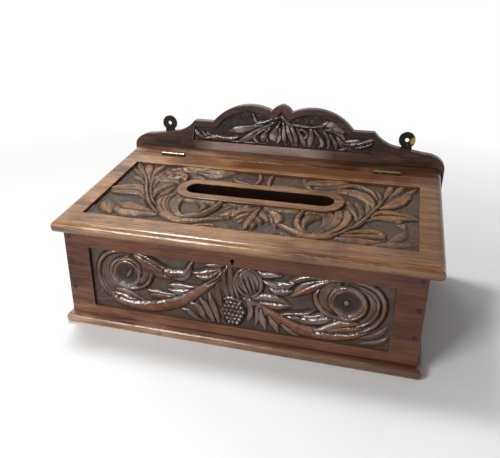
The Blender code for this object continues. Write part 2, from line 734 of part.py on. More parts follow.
def keyhole_outline():
    """A round hole with a narrower slot below it."""
    half = KEYHOLE_SLOT / 2
    start = math.asin(half / KEYHOLE_RADIUS)
    turn = (2 * math.pi - 2 * start) / ROUND_STEPS
    points = []
    for i in range(ROUND_STEPS + 1):
        angle = -math.pi / 2 + start + i * turn
        points.append((KEYHOLE_RADIUS * math.cos(angle), KEYHOLE_Z + KEYHOLE_RADIUS * math.sin(angle)))
    low = KEYHOLE_Z - KEYHOLE_LENGTH
    return points + [(-half, low), (half, low)]


def make_side(name, side):
    front = FRONT_INNER_Y + GAP
    rear = BACK_Y - GAP
    floor = BASE_THICK + GAP
    outline = [(front, floor), (rear, floor), (rear, seat_z(rear) - GAP), (front, seat_z(front) - GAP)]
    outer = side * CASE_WIDTH / 2
    return solid(name, prism(outline, "X", outer, outer - side * SIDE_THICK), "side_oak")


def crest_outline():
    """Right half of the back board's edge, from the peak down to the floor."""
    peak = (0.0, RAIL_TOP_Z + CREST_PEAK_RISE)
    valley = (CREST_VALLEY_X, RAIL_TOP_Z + CREST_VALLEY_RISE)
    step_in = (CREST_STEP_IN, RAIL_TOP_Z + CREST_STEP_RISE)
    step_out = (CREST_STEP_OUT, RAIL_TOP_Z + CREST_STEP_RISE)
    foot = (CREST_FOOT_X, RAIL_TOP_Z + CREST_FOOT_RISE)
    shoulder_x = BACK_HALF - SHOULDER_WIDTH
    shoulder_z = RAIL_TOP_Z + SHOULDER_RISE
    points = [peak]
    points += arc(peak, valley, CREST_PEAK_BULGE, ARC_STEPS // 2)
    points += arc(valley, step_in, CREST_ARCH_BULGE, 2 * ARC_STEPS)
    points += [step_out]
    points += arc(step_out, foot, -CREST_COVE_SAG)
    for i in range(ARC_STEPS + 1):
        angle = math.pi / 2 * (1 - i / ARC_STEPS)
        x = shoulder_x + SHOULDER_WIDTH * math.cos(angle)
        z = shoulder_z - SHOULDER_DEPTH * (1 - math.sin(angle))
        points.append((x, z))
    return points + [(BACK_HALF, 0.0)]


def field_outline():
    """Right half of the sunk field under the crest, from its top middle to its bottom middle."""
    valley = Vector((CREST_VALLEY_X, RAIL_TOP_Z + CREST_VALLEY_RISE))
    step = Vector((CREST_STEP_IN, RAIL_TOP_Z + CREST_STEP_RISE))
    low = RAIL_TOP_Z + FIELD_RISE
    shelf = RAIL_TOP_Z + CREST_STEP_RISE - CREST_RIM
    chord = step - valley
    half = chord.length / 2
    radius = (half * half + CREST_ARCH_BULGE**2) / (2 * CREST_ARCH_BULGE)
    up = Vector((-chord.y, chord.x)).normalized()
    centre = (valley + step) / 2 - up * (radius - CREST_ARCH_BULGE)
    inner = radius - CREST_RIM
    shelf_x = centre.x + math.sqrt(inner**2 - (shelf - centre.y) ** 2)
    notch_x = CREST_VALLEY_X - FIELD_NOTCH_IN
    notch_z = centre.y + math.sqrt(inner**2 - (notch_x - centre.x) ** 2)
    points = [(0.0, RAIL_TOP_Z + CREST_PEAK_RISE - CREST_RIM)]
    steps = 2 * ARC_STEPS
    from_angle = math.atan2(notch_z - centre.y, notch_x - centre.x)
    to_angle = math.atan2(shelf - centre.y, shelf_x - centre.x)
    for i in range(steps + 1):
        angle = from_angle + (to_angle - from_angle) * i / steps
        points.append((centre.x + inner * math.cos(angle), centre.y + inner * math.sin(angle)))
    points.append((CREST_STEP_OUT, shelf))
    points.append((CREST_STEP_OUT + FIELD_END, low))
    return points


def mirrored(half_outline):
    """A whole outline from its right half, whose first point lies on the middle line."""
    left = [(-x, z) for x, z in reversed(half_outline) if x > 0]
    return half_outline + left


def make_back():
    bm = prism(mirrored(crest_outline()), "Y", BACK_Y, REAR_Y)
    board = solid("back_board", bm, "back_oak")
    field = prism(mirrored(field_outline()), "Y", BACK_Y - CUT_OVER, BACK_Y + FIELD_DEPTH)
    cut(board, cutter("crest_field_cut", field))
    return board


# Lid and rail, laid out along the slope from the hinge axis
def make_rail(slope_frame):
    edge = rounded_edge(LID_THICK, LID_ROUND_TOP, LID_ROUND_UNDER, LID_NOSE_DROP)
    lean = math.tan(SLOPE)
    rear = RAIL_LENGTH - LID_THICK * lean
    bm = moulded_board(LID_HALF, -LID_REAR_V, rear, LID_UNDER_W, edge, False, lean)
    return solid("hinge_rail", bm, "rail_oak", slope_frame, smooth=True)


def make_lid(lid_axis):
    edge = rounded_edge(LID_THICK, LID_ROUND_TOP, LID_ROUND_UNDER, LID_NOSE_DROP)
    bm = moulded_board(LID_HALF, -LID_LENGTH, LID_REAR_V, LID_UNDER_W, edge)
    board = solid("lid_board", bm, "lid_oak", lid_axis, smooth=True)
    half = LID_HALF - LID_BORDER_SIDE
    front = -LID_LENGTH + LID_BORDER_FRONT
    over = LID_TOP_W + CUT_OVER
    panel_floor = LID_TOP_W - PANEL_DEPTH
    box = (-half, half, front, -LID_BORDER_REAR, panel_floor, over)
    panel = sunk_panel("lid_panel_cut", board, box, lid_axis)
    slot_v = -LID_LENGTH + SLOT_FROM_NOSE
    ring_half = SLOT_LENGTH / 2 + SLOT_RING
    ring = stadium(ring_half, SLOT_WIDTH / 2 + SLOT_RING, slot_v)
    ring_tool = cutter("slot_ring", prism(ring, "Z", panel_floor - CUT_OVER, over + CUT_OVER), lid_axis)
    cut(panel, ring_tool)
    to_panel, scale = sheet_place(LID_SHEET, half, front, -LID_BORDER_REAR)

    def spot(x, v, out):
        return x, v, panel_floor + out

    carve(board, "lid_rib", LID_RIBS, (), to_panel, scale, spot, lid_axis)
    slot = stadium(SLOT_LENGTH / 2, SLOT_WIDTH / 2, slot_v)
    cut(board, cutter("slot_cut", prism(slot, "Z", LID_UNDER_W - CUT_OVER, over), lid_axis))
    return board


# Hinges
def leaf_outline(side):
    """Section of a leaf and its knuckle, for the lid (side -1) or the rail (side 1)."""
    near = GAP / 2
    far = GAP / 2 + LEAF_THICK
    start = -math.acos(far / KNUCKLE_RADIUS)
    sweep = 2 * math.pi - math.acos(near / KNUCKLE_RADIUS) - start
    foot = LID_TOP_W - LEAF_DEPTH
    points = [(near, foot), (far, foot)]
    for i in range(ROUND_STEPS + 1):
        angle = start + sweep * i / ROUND_STEPS
        points.append((KNUCKLE_RADIUS * math.cos(angle), KNUCKLE_RADIUS * math.sin(angle)))
    return [(side * v, w) for v, w in points]


def make_hinge(label, x, lid, rail, lid_axis, slope_frame):
    half = HINGE_LENGTH / 2
    middle = HINGE_MIDDLE / 2
    clear = KNUCKLE_RADIUS + GAP
    top = clear + CUT_OVER
    frames = {-1: lid_axis, 1: slope_frame}
    boards = {-1: lid, 1: rail}
    leaves = {}
    for side, part in ((-1, "lid"), (1, "rail")):
        frame = frames[side]
        name = "%s_hinge_%s_leaf" % (label, part)
        bm = prism(leaf_outline(side), "X", x - half, x + half)
        leaf = solid(name, bm, "hinge_steel", frame, smooth=True)
        leaves[side] = leaf
        if side > 0:
            spans = [(x - middle - GAP / 2, x + middle + GAP / 2)]
        else:
            spans = [
                (x - half - CUT_OVER, x - middle + GAP / 2),
                (x + middle - GAP / 2, x + half + CUT_OVER),
            ]
        for number, (x0, x1) in enumerate(spans):
            gap_tool = cutter("%s_gap_%d" % (name, number), block(x0, x1, -top, top, -clear, top), frame)
            cut(leaf, gap_tool)
        bore = circle(0, 0, HINGE_PIN_RADIUS + PIN_CLEAR)
        cut(leaf, cutter(name + "_bore", prism(bore, "X", x - half - CUT_OVER, x + half + CUT_OVER), frame))
        seat = side * (GAP / 2 + LEAF_THICK + GAP)
        open_side = -side * CUT_OVER
        low = LID_TOP_W - LEAF_DEPTH - GAP
        y0, y1 = sorted((seat, open_side))
        gain = block(x - half - GAP, x + half + GAP, y0, y1, low, top)
        cut(boards[side], cutter(name + "_gain", gain, frame))
        relief = circle(0, 0, clear)
        relief_tool = prism(relief, "X", x - half - GAP, x + half + GAP)
        cut(boards[side], cutter(name + "_relief", relief_tool, frame))
        for number, offset in enumerate((-LEAF_SCREW_SPREAD, LEAF_SCREW_SPREAD), 1):
            fasten(
                "%s_hinge_%s_screw_%d" % (label, part, number),
                slotted_screw_mesh(HINGE_SCREW, "screw_steel"),
                countersink(HINGE_SCREW),
                (leaf, boards[side]),
                (x + offset, side * GAP / 2, LID_TOP_W - LEAF_SCREW_DROP),
                (0, -side, 0),
                frame,
            )
    pin = prism(circle(0, 0, HINGE_PIN_RADIUS), "X", x - half, x + half)
    solid(label + "_hinge_pin", pin, "hinge_steel", slope_frame, smooth=True)


# Lock
def make_lock(front):
    half = LOCK_WIDTH / 2
    flange = half + LOCK_FLANGE
    flange_y = LOCK_FACE_Y + LOCK_WALL
    hat = [
        (-flange, LOCK_FACE_Y),
        (flange, LOCK_FACE_Y),
        (flange, flange_y),
        (half, flange_y),
        (half, LOCK_REAR_Y),
        (-half, LOCK_REAR_Y),
        (-half, flange_y),
        (-flange, flange_y),
    ]
    case = solid("lock_case", prism(hat, "Z", LOCK_BASE_Z, LOCK_TOP_Z), "lock_brass")
    inner = half - LOCK_WALL
    inner_rear = LOCK_REAR_Y - LOCK_WALL
    inner_low = LOCK_BASE_Z + LOCK_WALL
    inner_high = LOCK_TOP_Z - LOCK_WALL
    hollow = block(-inner, inner, LOCK_FACE_Y - CUT_OVER, inner_rear, inner_low, inner_high)
    cut(case, cutter("lock_hollow", hollow))
    ledge_high = BOLT_Z - BOLT_HEIGHT / 2 - GAP
    ledge_x = BOLT_END_X - BOLT_LENGTH
    ledge = block(
        ledge_x,
        ledge_x + LEDGE_LENGTH,
        BOLT_Y - BOLT_THICK / 2,
        LOCK_REAR_Y - LOCK_WALL / 2,
        ledge_high - LEDGE_THICK,
        ledge_high,
    )
    join(case, cutter("lock_ledge", ledge))
    tongue = TONGUE_THICK / 2 + TONGUE_SIDE_CLEAR
    notch_rear = BOLT_Y + tongue_width() / 2 + TONGUE_WEB
    notch = block(
        LINK_X - tongue,
        LINK_X + tongue,
        LOCK_FACE_Y - CUT_OVER,
        notch_rear,
        inner_high - CUT_OVER,
        LOCK_TOP_Z + CUT_OVER,
    )
    cut(case, cutter("lock_notch", notch))
    pin_front = LOCK_FACE_Y + LOCK_WALL
    pin_profile = [
        (0, DRILL_PIN_HEAD_RISE),
        (DRILL_PIN_HEAD, DRILL_PIN_HEAD_RISE),
        (DRILL_PIN_HEAD, 0),
        (DRILL_PIN_RADIUS, 0),
        (DRILL_PIN_RADIUS, pin_front - LOCK_REAR_Y - GAP),
        (0, pin_front - LOCK_REAR_Y - GAP),
    ]
    pin_place = facing((0, LOCK_REAR_Y + GAP, KEYHOLE_Z), (0, 1, 0))
    solid("lock_drill_pin", turned(pin_profile, SCREW_STEPS), "bolt_steel", None, pin_place, True)
    bore = circle(0, KEYHOLE_Z, DRILL_PIN_RADIUS + GAP, SCREW_STEPS)
    cut(case, cutter("drill_pin_bore", prism(bore, "Y", inner_rear - CUT_OVER, LOCK_REAR_Y + CUT_OVER)))
    number = 0
    for x in (-half - LOCK_FLANGE / 2, half + LOCK_FLANGE / 2):
        for z in (LOCK_BASE_Z + LOCK_SCREW_INSET, LOCK_TOP_Z - LOCK_SCREW_INSET):
            number += 1
            fasten(
                "lock_screw_%d" % number,
                slotted_screw_mesh(LOCK_SCREW, "screw_steel"),
                countersink(LOCK_SCREW),
                (case, front),
                (x, flange_y, z),
                (0, 1, 0),
            )


def make_bolt():
    """The sliding bolt, drawn back clear of the link, and the flat spring that steadies it."""
    tail = -BOLT_LENGTH
    low = -BOLT_HEIGHT / 2
    high = BOLT_HEIGHT / 2
    talon = -BOLT_END_X
    outline = [
        (tail, low),
        (talon - TALON_WIDTH / 2, low),
        (talon - TALON_WIDTH / 2, low + TALON_DEPTH),
        (talon + TALON_WIDTH / 2, low + TALON_DEPTH),
        (talon + TALON_WIDTH / 2, low),
        (0, low),
        (0, high),
        (tail, high),
    ]
    matrix = Matrix.Translation((BOLT_END_X, BOLT_Y, BOLT_Z))
    bm = prism(outline, "Y", -BOLT_THICK / 2, BOLT_THICK / 2)
    solid("lock_bolt", bm, "bolt_steel", None, matrix)
    seat = high + GAP
    strip = [
        (tail, seat),
        (tail + SPRING_LENGTH, seat),
        (tail + SPRING_LENGTH, seat + SPRING_THICK),
        (tail, seat + SPRING_THICK),
    ]
    half = BOLT_THICK / 2
    solid("lock_spring", prism(strip, "Y", -half, half), "bolt_steel", None, matrix)


def tongue_width():
    return BOLT_THICK + 2 * TONGUE_CLEAR + 2 * TONGUE_WEB


def make_link(lid, lid_axis):
    """Plate let into the lid's underside, with the eyed tongue that the bolt enters."""
    bolt_v, bolt_w = lid_frame(BOLT_Y, BOLT_Z)
    eye_half = BOLT_HEIGHT / 2 + TONGUE_CLEAR
    foot = bolt_w - eye_half - TONGUE_WEB
    half_v = tongue_width() / 2
    plate_top = LID_UNDER_W + LINK_THICK
    half_plate = LINK_WIDTH / 2
    half_x = LINK_LENGTH / 2
    plate = block(
        LINK_X - half_x,
        LINK_X + half_x,
        bolt_v - half_plate,
        bolt_v + half_plate,
        LID_UNDER_W,
        plate_top,
    )
    link = solid("lock_link_plate", plate, "lock_brass", lid_axis)
    tongue = TONGUE_THICK / 2
    drop = block(
        LINK_X - tongue,
        LINK_X + tongue,
        bolt_v - half_v,
        bolt_v + half_v,
        foot,
        LID_UNDER_W + LINK_THICK / 2,
    )
    join(link, cutter("link_tongue", drop, lid_axis))
    eye_v = half_v - TONGUE_WEB
    eye = block(
        LINK_X - tongue - CUT_OVER,
        LINK_X + tongue + CUT_OVER,
        bolt_v - eye_v,
        bolt_v + eye_v,
        bolt_w - eye_half,
        bolt_w + eye_half,
    )
    cut(link, cutter("link_eye", eye, lid_axis))
    mortise = block(
        LINK_X - half_x - GAP,
        LINK_X + half_x + GAP,
        bolt_v - half_plate - GAP,
        bolt_v + half_plate + GAP,
        LID_UNDER_W - CUT_OVER,
        plate_top + GAP,
    )
    cut(lid, cutter("link_mortise", mortise, lid_axis))
    for number, offset in enumerate((-LINK_SCREW_SPREAD, LINK_SCREW_SPREAD), 1):
        fasten(
            "link_screw_%d" % number,
            slotted_screw_mesh(LINK_SCREW, "screw_steel"),
            countersink(LINK_SCREW),
            (link, lid),
            (LINK_X + offset, bolt_v, LID_UNDER_W),
            (0, 0, -1),
            lid_axis,
        )


# Hanging plates
def shoulder_line_z(x):
    """Height of the back board's straight top between the cove and the round shoulder."""
    end_x = BACK_HALF - SHOULDER_WIDTH
    share = (x - CREST_FOOT_X) / (end_x - CREST_FOOT_X)
    return RAIL_TOP_Z + CREST_FOOT_RISE + share * (SHOULDER_RISE - CREST_FOOT_RISE)


def hanger_outline(cx, eye_z, grow):
    """A plate that narrows to a neck and ends in a round eye."""
    neck = HANGER_NECK / 2 + grow
    body = HANGER_BODY_WIDTH / 2 + grow
    eye = HANGER_EYE_RADIUS + grow
    start = -math.acos(neck / eye)
    sweep = math.pi - 2 * start
    points = [
        (cx - body, eye_z - HANGER_LENGTH - grow),
        (cx + body, eye_z - HANGER_LENGTH - grow),
        (cx + body, eye_z - HANGER_BODY_DROP + grow),
        (cx + neck, eye_z - HANGER_NECK_DROP + grow),
    ]
    for i in range(2 * ARC_STEPS + 1):
        angle = start + sweep * i / (2 * ARC_STEPS)
        points.append((cx + eye * math.cos(angle), eye_z + eye * math.sin(angle)))
    points.append((cx - neck, eye_z - HANGER_NECK_DROP + grow))
    points.append((cx - body, eye_z - HANGER_BODY_DROP + grow))
    return points


def make_hanger(label, side, back):
    x = side * HANGER_X
    eye_z = shoulder_line_z(HANGER_X) + HANGER_RISE
    front = REAR_Y - HANGER_THICK
    bm = prism(hanger_outline(x, eye_z, 0.0), "Y", front, REAR_Y)
    plate = solid(label + "_hanger", bm, "hanger_brass")
    hole = circle(x, eye_z, HANGER_HOLE_RADIUS)
    cut(plate, cutter(label + "_hanger_hole", prism(hole, "Y", front - CUT_OVER, REAR_Y + CUT_OVER)))
    recess = prism(hanger_outline(x, eye_z, GAP), "Y", front - GAP, REAR_Y + CUT_OVER)
    cut(back, cutter(label + "_hanger_recess", recess))
    for number, offset in enumerate((-HANGER_SCREW_SPREAD, HANGER_SCREW_SPREAD), 1):
        fasten(
            "%s_hanger_screw_%d" % (label, number),
            slotted_screw_mesh(HANGER_SCREW, "screw_steel"),
            countersink(HANGER_SCREW),
            (plate, back),
            (x + offset, REAR_Y, eye_z - HANGER_SCREW_DROP),
            (0, 1, 0),
        )


# Nails and screws of the case
def fasten_case(base, front, sides, back, rail):
    low = BASE_THICK + NAIL_LOW_RISE
    high = seat_z(FRONT_Y) - NAIL_TOP_DROP
    screw = slotted_screw_mesh(CASE_SCREW, "screw_steel")
    screw_y = REAR_Y - CASE_SCREW_SINK
    for label, sign in (("left", -1), ("right", 1)):
        side = sides[label]
        x = sign * SIDE_MID_X
        for i in range(NAILS_PER_SIDE):
            z = low + (high - low) * i / (NAILS_PER_SIDE - 1)
            fasten(
                "%s_front_nail_%d" % (label, i + 1),
                nail_mesh(NAIL, "nail_iron"),
                nail_hole(NAIL),
                (front, side),
                (x, FRONT_Y, z),
                (0, -1, 0),
                spin=math.pi / NAIL_STEPS,
            )
        base_depths = (FRONT_INNER_Y + BASE_SCREW_END, BACK_Y - BASE_SCREW_END)
        for number, y in enumerate(base_depths, 1):
            name = "%s_base_screw_%d" % (label, number)
            spot = (x, y, CASE_SCREW_SINK)
            fasten(name, screw, countersink(CASE_SCREW), (base, side), spot, (0, 0, -1))
        back_heights = (BASE_THICK + BACK_SCREW_END, seat_z(BACK_Y) - BACK_SCREW_END)
        for number, z in enumerate(back_heights, 1):
            name = "%s_back_screw_%d" % (label, number)
            spot = (x, screw_y, z)
            fasten(name, screw, countersink(CASE_SCREW), (back, side), spot, (0, 1, 0))
        rail_z = RAIL_TOP_Z - LID_THICK / 2 / math.cos(SLOPE)
        spot = (sign * RAIL_SCREW_X, screw_y, rail_z)
        fasten(label + "_rail_screw", screw, countersink(CASE_SCREW), (back, rail), spot, (0, 1, 0))


def main():
    clear_scene()
    axis = (0.0, AXIS_Y, AXIS_Z)
    slope_frame = axis_empty("rail_slope", axis, SLOPE)
    lid_axis = axis_empty("lid_axis", axis, SLOPE)
    bpy.context.view_layer.update()
    base = make_base()
    front = make_front()
    sides = {"left": make_side("left_side", -1), "right": make_side("right_side", 1)}
    back = make_back()
    rail = make_rail(slope_frame)
    lid = make_lid(lid_axis)
    make_hinge("left", -HINGE_X, lid, rail, lid_axis, slope_frame)
    make_hinge("right", HINGE_X, lid, rail, lid_axis, slope_frame)
    make_lock(front)
    make_bolt()
    make_link(lid, lid_axis)
    make_hanger("left", -1, back)
    make_hanger("right", 1, back)
    fasten_case(base, front, sides, back, rail)


main()
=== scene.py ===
import json
import math
from collections import namedtuple

import bmesh
import bpy
import numpy as np
from mathutils import Matrix, Vector

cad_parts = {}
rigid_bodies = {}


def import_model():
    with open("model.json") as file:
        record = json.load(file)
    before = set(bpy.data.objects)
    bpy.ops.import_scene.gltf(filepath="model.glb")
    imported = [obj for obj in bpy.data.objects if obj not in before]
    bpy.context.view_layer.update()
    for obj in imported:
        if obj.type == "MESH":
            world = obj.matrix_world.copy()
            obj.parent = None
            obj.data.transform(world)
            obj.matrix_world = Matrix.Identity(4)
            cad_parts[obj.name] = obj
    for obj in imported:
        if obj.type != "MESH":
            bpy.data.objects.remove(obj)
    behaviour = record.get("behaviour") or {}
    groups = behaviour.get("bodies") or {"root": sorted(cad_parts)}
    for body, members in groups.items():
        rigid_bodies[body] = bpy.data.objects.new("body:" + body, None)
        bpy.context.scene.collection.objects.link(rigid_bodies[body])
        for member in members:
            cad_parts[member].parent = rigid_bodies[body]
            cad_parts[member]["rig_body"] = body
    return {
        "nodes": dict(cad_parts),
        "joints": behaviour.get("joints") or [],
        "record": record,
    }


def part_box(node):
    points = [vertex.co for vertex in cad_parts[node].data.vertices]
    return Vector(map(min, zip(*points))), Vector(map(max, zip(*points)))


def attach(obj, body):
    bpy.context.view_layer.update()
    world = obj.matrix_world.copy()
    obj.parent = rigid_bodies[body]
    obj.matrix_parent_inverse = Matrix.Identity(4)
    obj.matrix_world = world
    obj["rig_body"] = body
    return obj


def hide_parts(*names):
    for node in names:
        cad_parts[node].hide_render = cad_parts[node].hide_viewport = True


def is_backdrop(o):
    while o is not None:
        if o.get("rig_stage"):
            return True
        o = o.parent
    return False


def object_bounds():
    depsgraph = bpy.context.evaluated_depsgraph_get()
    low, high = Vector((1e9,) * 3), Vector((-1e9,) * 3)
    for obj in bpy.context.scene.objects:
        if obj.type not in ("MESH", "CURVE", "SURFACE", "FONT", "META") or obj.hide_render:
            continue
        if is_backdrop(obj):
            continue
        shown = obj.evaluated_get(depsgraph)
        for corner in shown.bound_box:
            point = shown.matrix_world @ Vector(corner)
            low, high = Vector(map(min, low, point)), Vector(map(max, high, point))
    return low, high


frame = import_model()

# Looks of a carved oak wall letter box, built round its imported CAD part.
# The boards are the CAD boards with softened edges. The carving is a height field in each sunk panel.

CAD_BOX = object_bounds()
MM = 0.001
X, Y, Z = range(3)

# The photo's camera
CAMERA_PLACE = Vector((0.142189, -0.579602, 0.351316))
CAMERA_FORWARD = Vector((-0.23409446, 0.88415503, -0.40431382))
CAMERA_UP = Vector((-0.11309885, 0.38827977, 0.91457502))
CAMERA_LENS = 39.884
CAMERA_SENSOR = 36.0

# Where the carved panels are
LID_SLOPE = math.radians(7.0)
PANEL_DEPTH = 4.5 * MM
FIELD_DEPTH = 4.0 * MM
HINGE_AXIS = Vector(frame["joints"][0]["pos_m"])
ACROSS = Vector((1.0, 0.0, 0.0))
UPRIGHT = Vector((0.0, 0.0, 1.0))
FORWARD = Vector((0.0, -1.0, 0.0))
LID_UP = Vector((0.0, math.cos(LID_SLOPE), math.sin(LID_SLOPE)))
LID_OUT = Vector((0.0, -math.sin(LID_SLOPE), math.cos(LID_SLOPE)))

# How the carving is cut. Lengths are in millimetres, and a blur is counted in passes.
SPAN_STEPS = 7
FLOOR_SLACK = 0.05
RIM_CLEARANCE = 0.25
MARGIN_CELLS = 3
WALL_OVERLAP = 2
UNDERSIDE = -0.15
LEAST_HEIGHT = 0.05
GROUND_HEIGHT = 0.35
GROUND_UNEVEN = 0.9
GROUND_BLUR = 6
ROLL_SHARE = 0.07
ROLL_BLUR = 36
AROUND_BLUR = 14
TRENCH_WIDTH = 0.7
TRENCH_SHARE = 0.5
TRENCH_REACH = 4 * TRENCH_WIDTH
LEAST_STROKE = 0.4
LEAST_CUT = 0.3
CUT_REACH = 3
END_PLACES = (0, 0.12, 0.8, 1)
END_SHARES = (0.8, 1, 1, 0.65)
EVERYWHERE = slice(None)
TINY = 1e-9


def panel_frame(origin, up, out):
    """Turns panel places (across, up, out of the panel's floor) into places in the part."""
    return Matrix.Translation(origin) @ Matrix((ACROSS, up, out)).transposed().to_4x4()


def upright_frame(node, depth):
    """The panel of a board that stands upright. Its up is measured from the ground."""
    low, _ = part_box(node)
    return panel_frame(Vector((0.0, low.y + depth, 0.0)), UPRIGHT, FORWARD)


def lid_frame():
    """The lid's panel. Its up is measured from the lid's front edge."""
    offsets = [v.co - HINGE_AXIS for v in frame["nodes"]["lid_board"].data.vertices]
    nose = min(offset.dot(LID_UP) for offset in offsets)
    top = max(offset.dot(LID_OUT) for offset in offsets)
    return panel_frame(HINGE_AXIS + nose * LID_UP + (top - PANEL_DEPTH) * LID_OUT, LID_UP, LID_OUT)


# The panels with rough forms in the solids, and all panels
ROUGH_PANELS = {"front_board": upright_frame("front_board", PANEL_DEPTH), "lid_board": lid_frame()}
PANELS = {**ROUGH_PANELS, "back_board": upright_frame("back_board", FIELD_DEPTH)}


def faces_on(bm, place):
    """The faces of a mesh, and their corners across, up and out of a panel, in millimetres."""
    to_panel = place.inverted()
    faces = list(bm.faces)
    return faces, [np.array([(to_panel @ v.co) / MM for v in f.verts]) for f in faces]


def floor_span(polygons):
    """Which of these polygons lie on a panel's floor, and the floor's lowest and highest corner."""
    level = [np.abs(p[:, 2]).max() < FLOOR_SLACK for p in polygons]
    floor = np.vstack([p for p, is_level in zip(polygons, level) if is_level])[:, :2]
    return level, floor.min(0) - FLOOR_SLACK, floor.max(0) + FLOOR_SLACK


def between(polygon, low, high):
    """Whether a polygon lies over the floor between two corners."""
    return (polygon[:, :2] > low).all() and (polygon[:, :2] < high).all()


def in_panel(polygons, depth):
    """Which of these polygons lie on a sunk panel's floor or forms."""
    level, low, high = floor_span(polygons)
    most = depth / MM - RIM_CLEARANCE
    return [
        is_level or (p[:, 2].min() > -FLOOR_SLACK and p[:, 2].max() < most and between(p, low, high))
        for p, is_level in zip(polygons, level)
    ]


def wall_faces(bm, place):
    """The faces that stand on a sunk panel's floor."""
    faces, polygons = faces_on(bm, place)
    level, low, high = floor_span(polygons)
    return [
        f for f, p, is_level in zip(faces, polygons, level)
        if not is_level and np.abs(p[:, 2].min()) < FLOOR_SLACK and between(p, low, high)
    ]


def floor_triangles(node, place, depth):
    """The triangles of a sunk panel's floor and forms, as points across and up the panel."""
    mesh = frame["nodes"][node].data
    mesh.calc_loop_triangles()
    to_panel = place.inverted()
    points = np.array([(to_panel @ v.co) / MM for v in mesh.vertices])
    found = [points[list(t.vertices)] for t in mesh.loop_triangles]
    return [t[:, :2] for t, wanted in zip(found, in_panel(found, depth)) if wanted]


def level_panel(bm, place, depth):
    """Replaces a sunk panel's rough forms by a flat floor, which the fine carving covers."""
    faces, polygons = faces_on(bm, place)
    rough = [f for f, wanted in zip(faces, in_panel(polygons, depth)) if wanted]
    bmesh.ops.delete(bm, geom=rough, context="FACES")
    rim = [e for e in bm.edges if e.is_boundary]
    bmesh.ops.triangle_fill(bm, edges=rim, use_beauty=False)
    bmesh.ops.recalc_face_normals(bm, faces=bm.faces)


def spline(points):
    """A smooth run through the points. Every column of a point follows the same curve."""
    p = np.array(points, float)
    p = np.vstack([2 * p[0] - p[1], p, 2 * p[-1] - p[-2]])
    t = np.linspace(0, 1, SPAN_STEPS, endpoint=False)[:, None]
    spans = []
    for a, b, c, d in zip(p, p[1:], p[2:], p[3:]):
        curve = 2 * b + (c - a) * t + (2 * a - 5 * b + 4 * c - d) * t**2 + (3 * b - a - 3 * c + d) * t**3
        spans.append(0.5 * curve)
    return np.vstack([*spans, p[-2:-1]])


# Cross-sections of the carved forms: u goes from 0 in the middle to 1 at the edge, and side is -1 or 1
def bead(u, side):
    """A round rib."""
    return 0.15 + 0.85 * (1 - u**2) ** 0.75


def leaf(u, side):
    """A rounded leaf with a vein cut down its middle."""
    return 0.15 + 0.85 * (1 - u**2) ** 0.8 - 0.13 * np.exp(-((u / 0.14) ** 2))


def lobe(u, side):
    """A leaf that tilts: one edge stands up and the other lies low."""
    return 0.62 + 0.3 * side * u - 0.45 * u**4


def flute(u, side):
    """A hollow between two raised edges."""
    return 0.55 + 0.45 * u**2 - 0.45 * u**10


def band(u, side):
    """A broad round band with a line cut along it."""
    return 0.2 + 0.8 * (1 - u**2) ** 0.6 - 0.12 * side * np.exp(-(((u - 0.55) / 0.1) ** 2))


def fold(u, side):
    """A broad fold that rises to one side of a cut rib."""
    return 0.15 + (0.72 + 0.13 * side) * (1 - u**2) ** 0.7 - 0.2 * np.exp(-((u / 0.12) ** 2))


def dome(u):
    """A round button."""
    return 0.3 + 0.7 * np.sqrt(1 - u**2)


# The forms that are rubbed to a warmer brown
WARM = (band, fold)


def blurred(values, times):
    """Each cell averaged with its neighbours, this many times over."""
    for _ in range(times):
        for axis in (0, 1):
            padded = np.pad(values, [(1, 1) if a == axis else (0, 0) for a in (0, 1)], mode="edge")
            after = np.delete(padded, [0, 1], axis)
            before = np.delete(padded, [-2, -1], axis)
            values = 0.5 * values + 0.25 * after + 0.25 * before
    return values


